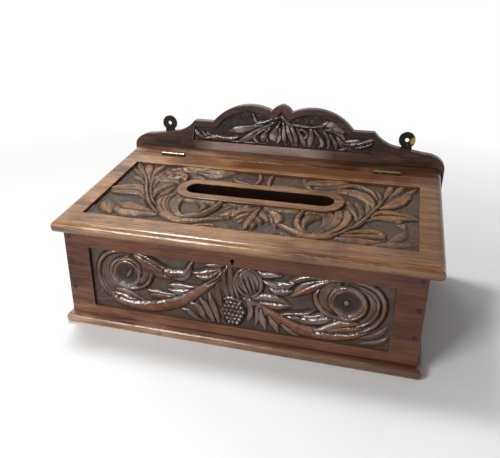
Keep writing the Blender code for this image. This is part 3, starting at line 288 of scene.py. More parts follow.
class Carving:
    """A height field over the floor of one sunk panel, in millimetres."""

    def __init__(self, node, depth, step, seed):
        self.place, self.step, self.most = PANELS[node], step, depth / MM - RIM_CLEARANCE
        triangles = floor_triangles(node, self.place, depth)
        corners = np.vstack(triangles)
        low, high = corners.min(0) - MARGIN_CELLS * step, corners.max(0) + MARGIN_CELLS * step
        self.xs = np.arange(low[0], high[0], step)
        self.ys = np.arange(low[1], high[1], step)
        self.x, self.y = np.meshgrid(self.xs, self.ys)
        self.inside = np.zeros(self.x.shape, bool)
        for triangle in triangles:
            self.mark(triangle)
        for _ in range(WALL_OVERLAP):
            self.widen()
        rng = np.random.default_rng(seed)
        ground = blurred(rng.random(self.x.shape), GROUND_BLUR)
        self.height = GROUND_HEIGHT + GROUND_UNEVEN * (ground - 0.5)
        rolls = blurred(rng.random(self.x.shape), ROLL_BLUR)
        self.rolls = 1 + ROLL_SHARE * (rolls - rolls.mean()) / rolls.std()
        # Darkening of the carving's colour in the cuts: painted shade in the coil dishes, and a stain on the
        # berries
        self.painted_shade_and_stain = np.zeros(self.x.shape)
        self.warm = np.zeros(self.x.shape)

    def mark(self, triangle):
        """Adds the cells in one triangle of the floor."""
        (ax, ay), (bx, by), (cx, cy) = triangle
        turns = np.array([
            (qx - px) * (self.y - py) - (qy - py) * (self.x - px)
            for px, py, qx, qy in ((ax, ay, bx, by), (bx, by, cx, cy), (cx, cy, ax, ay))
        ])
        self.inside |= (turns >= 0).all(0) | (turns <= 0).all(0)

    def widen(self):
        """Adds one cell all round, so that the carving runs into the panel's walls."""
        grown = self.inside.copy()
        for axis in (0, 1):
            for way in (-1, 1):
                grown |= np.roll(self.inside, way, axis)
        self.inside = grown

    def window(self, path, reach):
        """The rows and columns of the cells within reach of a path."""
        (x0, y0), (x1, y1) = path[:, :2].min(0) - reach, path[:, :2].max(0) + reach
        rows = slice(*np.searchsorted(self.ys, (y0, y1)))
        columns = slice(*np.searchsorted(self.xs, (x0, x1)))
        return rows, columns

    def near(self, path, at):
        """For each cell: distance from the path, its side of it, and the place along it."""
        x, y = self.x[at], self.y[at]
        best = np.full(x.shape, np.inf)
        side, along = np.ones(x.shape), np.zeros(x.shape)
        for i, ((ax, ay), (bx, by)) in enumerate(zip(path[:-1, :2], path[1:, :2])):
            dx, dy = bx - ax, by - ay
            t = np.clip(((x - ax) * dx + (y - ay) * dy) / (dx * dx + dy * dy + TINY), 0, 1)
            gone = np.hypot(x - ax - t * dx, y - ay - t * dy)
            closer = gone < best
            best = np.where(closer, gone, best)
            side = np.where(closer, np.sign(dx * (y - ay) - dy * (x - ax)), side)
            along = np.where(closer, i + t, along)
        return best, side, along

    def cover(self, gone, width):
        """How much of each cell lies within this width of a path or a middle."""
        return np.clip((width - gone) / self.step + 0.5, 0, 1)

    def lay(self, at, gone, width, top):
        """Lays one form over what is there, with a cut round it, and gives its cover."""
        cover = self.cover(gone, width)
        outside = np.maximum(gone - width, 0) / TRENCH_WIDTH
        under = self.height[at] * (1 - TRENCH_SHARE * np.exp(-(outside**2)))
        self.height[at] = under * (1 - cover) + top * cover
        return cover

    def stroke(self, shape, height, points):
        """Lays one carved form along a path. A point is x, y and half width."""
        path = spline(points)
        at = self.window(path, np.abs(path[:, 2]).max() + TRENCH_REACH)
        gone, side, along = self.near(path, at)
        places = np.arange(len(path))
        width = np.interp(along, places, np.maximum(path[:, 2], LEAST_STROKE))
        ends = np.interp(along / places[-1], END_PLACES, END_SHARES)
        top = height * ends * shape(np.clip(gone / width, 0, 1), side)
        cover = self.lay(at, gone, width, top)
        self.warm[at] = self.warm[at] * (1 - cover) + cover * (shape in WARM)

    def cut(self, depth, points):
        """Cuts one V line."""
        path = spline(points)
        at = self.window(path, CUT_REACH * np.abs(path[:, 2]).max())
        gone, _, along = self.near(path, at)
        width = np.interp(along, np.arange(len(path)), np.maximum(path[:, 2], LEAST_CUT))
        self.height[at] -= depth * np.exp(-((gone / width) ** 2))

    def boss(self, x, y, radius, height):
        """Lays one round button."""
        gone = np.hypot(self.x - x, self.y - y)
        self.lay(EVERYWHERE, gone, radius, height * dome(np.clip(gone / radius, 0, 1)))

    def dish(self, x, y, radius, rim, floor, painted_shade_and_stain):
        """Sinks a round hollow, darkened inside with painted shade."""
        gone = np.hypot(self.x - x, self.y - y)
        cover = self.cover(gone, radius)
        top = floor + (rim - floor) * (gone / radius) ** 4
        self.height = self.height * (1 - cover) + top * cover
        self.painted_shade_and_stain = np.maximum(self.painted_shade_and_stain, painted_shade_and_stain * cover)

    def stain(self, x, y, radius, painted_shade_and_stain):
        """Darkens a round patch."""
        self.painted_shade_and_stain = np.maximum(self.painted_shade_and_stain, painted_shade_and_stain * (np.hypot(self.x - x, self.y - y) < radius))

    def carve(self, strokes):
        for shape, height, *points in strokes:
            self.stroke(shape, height, points)

    def piece(self, name, body, slot, material):
        """The carving as a closed mesh on the panel's floor."""
        height = np.clip(blurred(self.height * self.rolls, 1), LEAST_HEIGHT, self.most)
        around = blurred(height, AROUND_BLUR)
        ids = np.full(self.x.shape, -1)
        cells = self.inside[:-1, :-1] & self.inside[1:, :-1] & self.inside[:-1, 1:] & self.inside[1:, 1:]
        used = np.zeros(self.x.shape, bool)
        for rows in (slice(None, -1), slice(1, None)):
            for columns in (slice(None, -1), slice(1, None)):
                used[rows, columns] |= cells
        ids[used] = np.arange(used.sum())
        points = np.stack([self.x[used], self.y[used], height[used]], 1)
        corners = (ids[:-1, :-1], ids[:-1, 1:], ids[1:, 1:], ids[1:, :-1])
        quads = np.stack([c[cells] for c in corners], 1)
        mesh = bpy.data.meshes.new(name)
        mesh.from_pydata((points * MM).tolist(), [], quads.tolist())
        # Hollow is how far each cell lies below its surroundings, plus the painted shade and stain, and it
        # darkens the cuts
        layers = {"rise": height / self.most, "hollow": around - height + self.painted_shade_and_stain, "warm": self.warm}
        for label, values in layers.items():
            layer = mesh.attributes.new(label, "FLOAT", "POINT")
            layer.data.foreach_set("value", values[used].astype(np.float32))
        close_below(mesh)
        mesh.transform(self.place)
        mesh.shade_smooth()
        place_piece(name, mesh, body, slot, material)


def close_below(mesh):
    """Gives an open height field a skirt and a flat underside."""
    bm = bmesh.new()
    bm.from_mesh(mesh)
    rim = [e for e in bm.edges if e.is_boundary]
    made = bmesh.ops.extrude_edge_only(bm, edges=rim)["geom"]
    for vert in (g for g in made if isinstance(g, bmesh.types.BMVert)):
        vert.co.z = UNDERSIDE * MM
    lower = [g for g in made if isinstance(g, bmesh.types.BMEdge) and g.is_boundary]
    bmesh.ops.triangle_fill(bm, edges=lower, use_beauty=False, normal=(0, 0, -1))
    bmesh.ops.recalc_face_normals(bm, faces=bm.faces)
    bm.to_mesh(mesh)
    bm.free()


def place_piece(name, mesh, body, slot, material):
    """Puts a mesh in the scene as a piece that rides on a body."""
    piece = bpy.data.objects.new(name, mesh)
    bpy.context.scene.collection.objects.link(piece)
    mesh.materials.clear()
    mesh.materials.append(material)
    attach(piece, body)
    return piece


# How edges are softened: the rounding's width, the least angle it takes, and the least length of edge
Rounding = namedtuple("Rounding", "width angle run")
WOOD_ROUNDING = Rounding(0.7 * MM, math.radians(28), 40 * MM)
METAL_ROUNDING = Rounding(0.15 * MM, math.radians(50), 3 * MM)
LEAST_FACE = 3.0
SMOOTH = math.radians(42)
FLAT = math.radians(0.5)
WELD = 2e-6


def reach(face, edge):
    """How far the face goes from one of its edges."""
    start, end = (v.co for v in edge.verts)
    along = (end - start).normalized()
    offsets = [v.co - start for v in face.verts]
    return max((offset - offset.dot(along) * along).length for offset in offsets)


def runs(edges):
    """The edges in groups that hang together."""
    left = set(edges)
    while left:
        run, ends = [], [left.pop()]
        while ends:
            edge = ends.pop()
            run.append(edge)
            joined = {e for v in edge.verts for e in v.link_edges} & left
            left -= joined
            ends.extend(joined)
        yield run


def outer_edges(bm, rounding):
    """The edges that handling wears: sharp, standing out, in a long run, with room for the rounding."""
    edges = [
        e for e in bm.edges
        if len(e.link_faces) == 2 and e.is_convex and e.calc_face_angle(0.0) > rounding.angle
        and all(reach(f, e) > LEAST_FACE * rounding.width for f in e.link_faces)
    ]
    wanted = {e for run in runs(edges) if sum(e.calc_length() for e in run) > rounding.run for e in run}
    return [e for e in bm.edges if e in wanted]


def softened(node, rounding, material, slot):
    """A copy of a CAD node with its outer edges rounded. Each rounded face is marked as worn."""
    source = frame["nodes"][node]
    bm = bmesh.new()
    bm.from_mesh(source.data)
    bmesh.ops.remove_doubles(bm, verts=bm.verts, dist=WELD)
    if node in ROUGH_PANELS:
        level_panel(bm, ROUGH_PANELS[node], PANEL_DEPTH)
    bmesh.ops.dissolve_limit(bm, angle_limit=FLAT, verts=bm.verts, edges=bm.edges)
    # Marks the walls of a sunk panel, to be darkened as painted shade
    worn = bm.faces.layers.float.new("edge")
    painted_shade_and_stain = bm.faces.layers.float.new("painted_shade_and_stain")
    if node in PANELS:
        for face in wall_faces(bm, PANELS[node]):
            face[painted_shade_and_stain] = 1.0
    edges = outer_edges(bm, rounding)
    if edges:
        made = bmesh.ops.bevel(
            bm, geom=edges, offset=rounding.width, offset_type="OFFSET", segments=2, profile=0.5,
            affect="EDGES", clamp_overlap=False,
        )
        for face in made["faces"]:
            face[worn] = 1.0
    mesh = bpy.data.meshes.new("soft_" + node)
    bm.to_mesh(mesh)
    bm.free()
    mesh.shade_smooth()
    mesh.set_sharp_from_angle(angle=SMOOTH)
    piece = place_piece("soft_" + node, mesh, source["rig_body"], slot, material)
    weighted = piece.modifiers.new("even_normals", "WEIGHTED_NORMAL")
    weighted.keep_sharp = True
    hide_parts(node)


class Graph:
    """A short way to write the nodes of a material or world."""

    def __init__(self, owner):
        owner.use_nodes = True
        self.tree = owner.node_tree

    def put(self, socket, value):
        if isinstance(value, bpy.types.NodeSocket):
            self.tree.links.new(value, socket)
        else:
            socket.default_value = value

    def add(self, kind, inputs, **settings):
        node = self.tree.nodes.new("ShaderNode" + kind)
        for name, value in settings.items():
            setattr(node, name, value)
        for key, value in inputs.items():
            self.put(node.inputs[key], value)
        return node

    def math(self, operation, a, b=0.0):
        return self.add("Math", {0: a, 1: b}, operation=operation).outputs[0]

    def plus(self, a, b):
        return self.math("ADD", a, b)

    def minus(self, a, b):
        return self.math("SUBTRACT", a, b)

    def times(self, a, b):
        return self.math("MULTIPLY", a, b)

    def spread(self, value, low, high, start=0.0, end=1.0):
        """Turns the range from low to high into the range from start to end."""
        inputs = {"Value": value, "From Min": low, "From Max": high, "To Min": start, "To Max": end}
        return self.add("MapRange", inputs).outputs[0]

    def vary(self, noise, start, end):
        """Turns a noise's usual range into the range from start to end."""
        return self.spread(noise, *NOISE_RANGE, start, end)

    def mix(self, share, a, b):
        return self.add("Mix", {0: share, 6: a, 7: b}, data_type="RGBA").outputs[2]

    def place(self, tilt=0.0, scale=(1.0, 1.0, 1.0)):
        """The place on the piece at rest, turned to the board and stretched."""
        source = self.add("TexCoord", {}).outputs["Object"]
        turned = self.add("Mapping", {"Vector": source, "Rotation": (tilt, 0.0, 0.0)}).outputs[0]
        return self.add("Mapping", {"Vector": turned, "Scale": scale}).outputs[0]

    def along(self, axis, tilt=0.0):
        """How far along one axis a place is."""
        return self.add("SeparateXYZ", {0: self.place(tilt)}).outputs[axis]

    def facing(self, axis):
        """How much the surface faces along one axis."""
        normal = self.add("NewGeometry", {}).outputs["Normal"]
        return self.add("SeparateXYZ", {0: normal}).outputs[axis]

    def noise(self, vector, scale=1.0, detail=3.0, rough=0.55, bend=0.0):
        inputs = {"Vector": vector, "Scale": scale, "Detail": detail, "Roughness": rough, "Distortion": bend}
        return self.add("TexNoise", inputs).outputs[0]

    def attribute(self, name):
        return self.add("Attribute", {}, attribute_name=name).outputs["Fac"]

    def ramp(self, value, stops):
        node = self.add("ValToRGB", {0: value})
        elements = node.color_ramp.elements
        while len(elements) < len(stops):
            elements.new(1.0)
        for element, (at, colour) in zip(elements, stops):
            element.position = at
            element.color = colour
        return node.outputs[0]

    def bump(self, height, strength, distance, after=None):
        inputs = {"Height": height, "Strength": strength, "Distance": distance}
        if after is not None:
            inputs["Normal"] = after
        return self.add("Bump", inputs).outputs[0]


class Material(Graph):
    """The nodes of one material, round its own shader."""

    def __init__(self, name):
        self.material = bpy.data.materials.new(name)
        super().__init__(self.material)
        self.shader = self.tree.nodes["Principled BSDF"]

    def finish(self, **inputs):
        for name, value in inputs.items():
            self.put(self.shader.inputs[name.replace("_", " ")], value)
        return self.material


def linear(red, green, blue):
    """A colour written as a screen shows it, from 0 to 255."""
    share = (c / 255 for c in (red, green, blue))
    return (*(s / 12.92 if s < 0.04045 else ((s + 0.055) / 1.055) ** 2.4 for s in share), 1.0)


def tones(*colours):
    return [linear(*colour) for colour in colours]


# Where the posting slot, the front edges and the front face are, with the lid turned level
SLOT_RADIUS = 12.0 * MM
SLOT_HALF_STRAIGHT = 85.5 * MM - SLOT_RADIUS
SLOT_FROM_NOSE = 110.7 * MM
SLOT_PLACE = Matrix.Rotation(-LID_SLOPE, 3, "X") @ (lid_frame() @ Vector((0.0, SLOT_FROM_NOSE, 0.0)))
LID_NOSE = SLOT_PLACE.y - SLOT_FROM_NOSE
BASE_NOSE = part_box("base_board")[0].y
FRONT_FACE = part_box("front_board")[0].y

# Where the wood has painted shade in the slot, is lighter at the foot, darker to the right with painted
# falloff, has dust with painted sheen and bands of painted shadow, and is waxed
# Painted shade: near black, for the posting slot and the walls of the sunk panels
PAINTED_SHADE_BLACK = linear(30, 18, 13)
SLOT_SHADE_EDGE = (SLOT_RADIUS + 0.2 * MM, SLOT_RADIUS + 0.9 * MM)
LIGHTER_FOOT_BAND = (14 * MM, 45 * MM)
# Darker to the right: partly tone, partly painted falloff of the light from the left
RIGHT_DARKENING_ENDS = (-200 * MM, 200 * MM)
# Pale strip on the back board's front: partly dust, partly painted sheen
DUST_AND_SHEEN = linear(160, 139, 130)
DUST_SHEEN_BAND = (158 * MM, 161 * MM)
DUST_SHEEN_FOOT = (138 * MM, 144 * MM)
DUST_SHEEN_LEFT = 25 * MM
DUST_SHEEN_ENDS = (60 * MM, 95 * MM)
# Painted shadow: a brown band at the lid's back and where the base meets the front board
SHADOW_BROWN = linear(84, 47, 24)
SHADOW_BAND_ENDS = (-60 * MM, -42 * MM)
LID_SHADOW_BAND = (LID_NOSE + 173.5 * MM, LID_NOSE + 177.5 * MM)
BASE_SHADOW_BAND = (FRONT_FACE - 3 * MM, FRONT_FACE - 1 * MM)
LID_POLISH = (LID_NOSE + 5 * MM, LID_NOSE + 11 * MM)
BASE_POLISH = (BASE_NOSE + 12 * MM, BASE_NOSE + 14 * MM)
WAX = 0.2
NOSE_WAX = 0.9
OAK_GLOSS = {"Specular_IOR_Level": 0.22, "Coat_Roughness": 0.18}

# The grain's closeness along and across the board: broad streaks, fibres and pores
GRAIN = ((7.0, 90.0), (40.0, 700.0), (130.0, 2200.0))
PATCHES = (16.0, 70.0)
DENT_SCALE = (70.0, 190.0, 190.0)
NOISE_RANGE = (0.3, 0.7)

# The carved wood's cuts, near black with grime and painted shade, and its gloss
SHADE_AND_GRIME_IN_CUTS = linear(17, 11, 8)
CARVED_ROUGHNESS = 0.24
CARVED_GLOSS = {"Specular_IOR_Level": 0.15, "Coat_Roughness": 0.11, "Coat_IOR": 1.9}


def stretched(along, pair):
    """A noise's closeness on each axis, with the grain along one of them."""
    long, wide = pair
    return tuple(long if axis == along else wide for axis in (X, Y, Z))


# What the layers of wear and painted light on an oak board work with
Wood = namedtuple("Wood", "dark worn tilt figure stains patches")


def lighter_foot(g, wood, colour, share):
    """Lighter along the foot."""
    low = g.spread(g.along(Z), *LIGHTER_FOOT_BAND, share, 0.0)
    return g.mix(g.times(low, g.spread(wood.figure, 0.4, 0.58, 0.3, 1.0)), colour, wood.worn)


def right_tone_and_painted_falloff(g, wood, colour, share):
    """Darker towards the right end: partly the wood's own tone, partly painted shade for the light falling
    off away from the left.
    """
    end = g.plus(g.spread(g.along(X), *RIGHT_DARKENING_ENDS), g.vary(wood.stains, -0.2, 0.2))
    return g.mix(g.times(end, share), colour, wood.dark)


def painted_shadow_band(g, wood, colour, reach):
    """Painted shadow: a dark brown band towards the back, right of the left end, for the crest's shadow on
    the lid and the shade where the base meets the front board.
    """
    share = g.times(g.spread(g.along(Y, wood.tilt), *reach), g.spread(g.along(X, wood.tilt), *SHADOW_BAND_ENDS))
    return g.mix(g.times(share, g.vary(wood.stains, 0.6, 0.95)), colour, SHADOW_BROWN)


def dust_and_painted_sheen(g, wood, colour, reach):
    """Pale on the front, up to a height and near the middle: partly dust, partly a painted sheen of reflected
    light.
    """
    up = g.along(Z)
    across = g.math("ABSOLUTE", g.plus(g.along(X), DUST_SHEEN_LEFT))
    share = g.times(g.spread(up, *reach, 1.0, 0.0), g.spread(across, *DUST_SHEEN_ENDS, 1.0, 0.0))
    share = g.times(share, g.spread(wood.patches, 0.35, 0.6, 0.4, 0.85))
    share = g.times(share, g.times(g.spread(up, *DUST_SHEEN_FOOT), g.spread(g.facing(Y), -0.3, -0.6)))
    return g.mix(share, colour, DUST_AND_SHEEN)


def painted_wall_shade(g, wood, colour, share):
    """Painted shade: dark on the walls of a sunk panel, less where they face up."""
    standing = g.spread(g.facing(Z), 0.2, 0.6, share, 0.0)
    return g.mix(g.times(g.attribute("painted_shade_and_stain"), standing), colour, PAINTED_SHADE_BLACK)


def painted_underside_shade(g, wood, colour, share):
    """Painted shade: darker on the faces that turn down."""
    return g.mix(g.spread(g.facing(Z), 0.3, -0.3, 0.0, share), colour, wood.dark)


def painted_slot_shade(g, wood, colour, share):
    """Painted shade: black on the walls of the posting slot, the hole into the box."""
    beside = g.minus(g.math("ABSOLUTE", g.along(X, wood.tilt)), SLOT_HALF_STRAIGHT)
    across = g.math("MAXIMUM", beside)
    up = g.minus(g.along(Y, wood.tilt), SLOT_PLACE.y)
    gone = g.math("SQRT", g.plus(g.times(across, across), g.times(up, up)))
    return g.mix(g.spread(gone, *SLOT_SHADE_EDGE, share, 0.0), colour, PAINTED_SHADE_BLACK)


def oak(name, colours, along=X, tilt=0.0, dull=0.38, bloom=0.15, layers=(), polish=None):
    """Old polished oak: streaks, fibres, pores, stains and rubbed edges, with layers of wear and of painted
    light over them.

    Bloom is how pale the rubbed patches are. A layer is one of the functions above, with how strong it is
    or where it reaches. Polish is the band over which the front edge's brighter wax ends."""
    dark, mid, light, worn = colours
    g = Material(name)
    broad, fibre, pore = (g.place(tilt, stretched(along, pair)) for pair in GRAIN)
    streaks = g.noise(broad, detail=5.0, rough=0.6, bend=0.5)
    fibres = g.noise(fibre)
    pores = g.spread(g.noise(pore, detail=2.0), 0.6, 0.72)
    stains = g.noise(g.place(), scale=14.0, detail=4.0)
    figure = g.plus(g.times(streaks, 0.5), g.times(fibres, 0.5))
    figure = g.plus(figure, g.vary(stains, -0.1, 0.1))
    patches = g.noise(g.place(tilt, stretched(along, PATCHES)), detail=4.0, rough=0.65)
    dents = g.spread(g.noise(g.place(tilt, DENT_SCALE)), 0.62, 0.7, 0.0, 0.6)
    rubbed = g.times(g.attribute("edge"), g.spread(stains, 0.4, 0.65, 0.0, 0.55))
    colour = g.ramp(figure, ((0.38, dark), (0.5, mid), (0.62, light)))
    colour = g.mix(g.spread(patches, 0.5, 0.66, 0.0, bloom), colour, worn)
    colour = g.mix(g.times(pores, 0.4), colour, dark)
    colour = g.mix(dents, colour, dark)
    colour = g.mix(rubbed, colour, worn)
    wood = Wood(dark, worn, tilt, figure, stains, patches)
    for layer, amount in layers:
        colour = layer(g, wood, colour, amount)
    rough = g.plus(g.vary(stains, dull + 0.08, dull - 0.06), g.times(pores, 0.2))
    normal = g.bump(g.minus(fibres, pores), 0.25, 0.4 * MM)
    normal = g.bump(streaks, 0.2, 1.5 * MM, normal)
    wax = g.spread(g.along(Y, tilt), *polish, NOSE_WAX, WAX) if polish else WAX
    return g.finish(
        Base_Color=colour, Roughness=rough, Normal=normal, Coat_Weight=wax, Coat_Normal=normal, **OAK_GLOSS
    )


def carved_oak(name, colours, tilt=0.0, waxed=1.0, uneven=0.6, patch=24.0, rubbed=0.45):
    """Carved oak: near black in the cuts, partly grime and partly painted undercut shade, tooled on the
    ground, and on the tops paler patches, partly rubbed wear and partly painted sheen, with wax.

    Uneven is how rough the tool marks are, patch how close together the paler patches of rubbed wear and
    painted sheen lie, and rubbed where in their noise they begin."""
    ground, dark, mid, light, sheen, stem = colours
    g = Material(name)
    broad, fibre = (g.place(tilt, stretched(X, pair)) for pair in GRAIN[:2])
    streaks = g.noise(broad, detail=5.0, rough=0.6, bend=0.5)
    fibres = g.noise(fibre)
    blotches = g.noise(g.place(), scale=38.0, detail=4.0)
    tooling = g.noise(g.place(), scale=750.0, detail=2.0)
    specks = g.noise(g.place(), scale=170.0, detail=4.0, rough=0.6)
    patches = g.noise(g.place(), scale=patch)
    dents = g.noise(g.place(), scale=210.0, detail=4.0)
    hollow = g.attribute("hollow")
    figure = g.plus(g.times(streaks, 0.45), g.times(blotches, 0.55))
    tops = g.ramp(figure, ((0.36, dark), (0.5, mid), (0.64, light)))
    # Paler patches on the tops: painted sheen and glints, partly rubbed wear
    tops = g.mix(g.spread(patches, rubbed, rubbed + 0.15, 0.0, 0.75), tops, sheen)
    tops = g.mix(g.times(g.attribute("warm"), g.spread(streaks, 0.35, 0.65, 0.2, 0.95)), tops, stem)
    tops = g.mix(g.spread(specks, 0.5, 0.68, 0.0, 0.45), tops, dark)
    low = g.mix(g.spread(tooling, 0.4, 0.65, 0.0, 0.3), ground, dark)
    low = g.mix(g.spread(blotches, 0.4, 0.65, 0.0, 0.5), low, dark)
    low = g.mix(g.spread(specks, 0.5, 0.35, 0.0, 0.6), low, mid)
    height = g.spread(g.plus(g.attribute("rise"), g.vary(blotches, -0.1, 0.1)), 0.16, 0.5)
    colour = g.mix(height, low, tops)
    # Painted shade, partly grime: near black in the cuts and round the foot of each form
    colour = g.mix(g.spread(hollow, 0.06, 0.7, 0.0, 0.95), colour, SHADE_AND_GRIME_IN_CUTS)
    colour = g.mix(g.spread(hollow, -0.4, -1.3, 0.0, 0.45), colour, light)
    rough = g.spread(height, 0.0, 1.0, CARVED_ROUGHNESS + 0.3, CARVED_ROUGHNESS)
    rough = g.plus(rough, g.vary(blotches, -0.06, 0.1))
    normal = g.bump(fibres, 0.3, 0.4 * MM)
    normal = g.bump(dents, uneven, 1.6 * MM, normal)
    normal = g.bump(tooling, g.spread(height, 0.0, 1.0, 0.6, 0.2), 0.6 * MM, normal)
    wax = g.times(g.spread(height, 0.2, 1.0, 0.05, waxed), g.spread(g.facing(Z), 0.1, 0.4, 0.1, 1.0))
    return g.finish(
        Base_Color=colour, Roughness=rough, Normal=normal, Coat_Weight=wax, Coat_Normal=normal, **CARVED_GLOSS
    )


def metal(name, tarnish, bright, dull, metallic, worn, worn_and_lit_top=0.0, rubbed_at=None):
    """Old metal: tarnish that is rubbed off in patches and along the edges.

    Worn is how much is rubbed off, worn_and_lit_top how bare and bright its upper faces are, partly wear and
    partly a painted highlight, and rubbed_at the middle of a bare spot."""
    g = Material(name)
    patches = g.noise(g.place(), scale=230.0, detail=5.0, rough=0.65)
    scratches = g.noise(g.place(scale=(900.0, 2600.0, 2600.0)), detail=2.0)
    bare = g.spread(patches, 0.62 - worn, 0.78 - worn)
    bare = g.math("MAXIMUM", bare, g.times(g.attribute("edge"), g.spread(patches, 0.35, 0.6)))
    # Painted highlight, partly wear: the upper faces bare and bright
    if worn_and_lit_top:
        bare = g.math("MAXIMUM", bare, g.spread(g.facing(Z), 0.5, 0.9, 0.0, worn_and_lit_top))
    if rubbed_at:
        away = g.add("VectorMath", {0: g.place(), 1: rubbed_at}, operation="DISTANCE").outputs["Value"]
        away = g.plus(away, g.vary(patches, -2 * MM, 2 * MM))
        bare = g.math("MAXIMUM", bare, g.spread(away, 4 * MM, 5.5 * MM, 1.0, 0.0))
    colour = g.mix(bare, linear(*tarnish), linear(*bright))
    rough = g.plus(g.spread(bare, 0.0, 1.0, dull + 0.2, dull), g.vary(scratches, -0.05, 0.08))
    normal = g.bump(g.plus(patches, g.times(scratches, 0.3)), 0.3, 0.3 * MM)
    return g.finish(Base_Color=colour, Roughness=rough, Normal=normal, Metallic=metallic)


# The front's carving: form, height, then points of x, y from the ground and half width, in millimetres
FRONT_LEFT = [
    (lobe, 2.2, (-158, 34, 2), (-150, 39, 4), (-140, 41, 5), (-128, 38, 3)),
    (lobe, 2.0, (-156, 27, 1.5), (-146, 29, 3), (-132, 29, 3), (-118, 26, 2)),
    (flute, 2.0, (-118, 90, 4), (-138, 82, 6), (-144, 66, 6), (-138, 50, 6), (-124, 43, 5), (-110, 44, 3)),
    (flute, 2.4, (-104, 88, 5), (-95, 78, 6), (-95, 66, 6), (-102, 56, 5), (-114, 51, 4)),
    (lobe, 3.0, (-134, 45, 2), (-122, 42, 5), (-110, 37, 5), (-97, 33, 3), (-90, 33, 1)),
    (leaf, 3.1, (-137, 40, 2), (-124, 37, 4), (-112, 33, 4), (-98, 32, 2)),
    (leaf, 2.8, (-94, 50, 2), (-86, 48, 4), (-76, 47, 4), (-64, 47, 3), (-54, 50, 1.2)),
    (lobe, 3.2, (-92, 44, 2), (-82, 44, 3.5), (-70, 44, 3.5), (-56, 46, 2), (-48, 49, 1)),
    (leaf, 3.4, (-71, 60, 2), (-60, 60.5, 4), (-48, 60, 3.5), (-36, 62, 2), (-28, 64, 1)),
    (leaf, 3.2, (-71, 55, 1.5), (-62, 53, 4), (-51, 54.5, 3.5), (-40, 59, 1.5)),
    (band, 3.6, (-9, 84, 2), (-16, 77, 3), (-25, 68, 4), (-37, 58, 5), (-51, 47, 6.2), (-67, 38, 7),
     (-85, 32, 7), (-103, 29, 6), (-121, 29.5, 5), (-136, 35, 4.5), (-146, 46, 4), (-151, 60, 3)),
    (bead, 4.0, (-141, 37, 2), (-149.5, 50, 2.4), (-152, 65, 2.6), (-148, 79, 2.6), (-138, 89, 2.6),
     (-124, 93, 2.4), (-108, 92.5, 2.2)),
    (bead, 3.9, (-98, 86, 2), (-92, 78, 2.3), (-90, 68, 2.4), (-95, 58, 2.4), (-105, 51.5, 2.4),
     (-117, 49.5, 2.4), (-129, 53, 2.4), (-135.5, 62, 2.4), (-136, 71, 2.3), (-131, 79.5, 2.2),
     (-122, 84, 2.2), (-112, 84, 2.2), (-104.5, 78, 2), (-102, 69, 1.5)),
    (fold, 3.8, (-106, 89, 4), (-95, 83, 7.5), (-83, 76, 8.5), (-74, 71, 6), (-70, 69, 3)),
    (bead, 4.2, (-122, 94, 1.8), (-105, 93, 2.6), (-92, 88.5, 3), (-80, 82, 2.8), (-70, 77.5, 2.4),
     (-62, 76, 1.5)),
    (leaf, 4.0, (-73, 75, 4), (-65, 74, 6), (-55, 74.5, 6.2), (-49, 79, 4.4), (-46.5, 86, 2.6),
     (-43, 92, 1)),
    (lobe, 3.3, (-66, 69, 2), (-57, 68.5, 3), (-49, 73, 2.5), (-45, 81, 1.5)),
    (leaf, 3.8, (-43, 79, 1.5), (-35, 79, 4.5), (-25, 82, 4.5), (-14, 89, 2.5)),
    (leaf, 3.3, (-39, 75.5, 1.5), (-32, 74, 3.5), (-24, 76, 3.5), (-13, 85, 2)),
    (lobe, 3.4, (-29, 89, 1.5), (-21, 89.5, 3), (-9, 92, 2.5)),
    (bead, 3.9, (-27, 69, 1.8), (-17, 77, 2.2), (-8, 87, 2.2), (-5, 93, 1.8)),
    (leaf, 2.9, (-47, 42, 1.6), (-40, 39, 4.4), (-35, 32, 4.6), (-31, 24, 2)),
    (leaf, 3.1, (-36, 49, 1.6), (-31, 42, 4), (-26, 33, 4.4), (-22, 24, 2)),
    (leaf, 3.1, (-26, 56, 1.4), (-23.5, 46, 3.4), (-19.5, 36, 3.6), (-16, 24, 1.8)),
    (leaf, 2.7, (-58, 33, 1.2), (-50, 30.5, 3.6), (-43, 25.5, 3), (-35, 22, 1.4)),
    (flute, 3.2, (-17, 68, 1.5), (-16.5, 58, 2.6), (-14.5, 48, 2.8), (-12.5, 38, 2.2), (-11, 30, 1.2)),
]
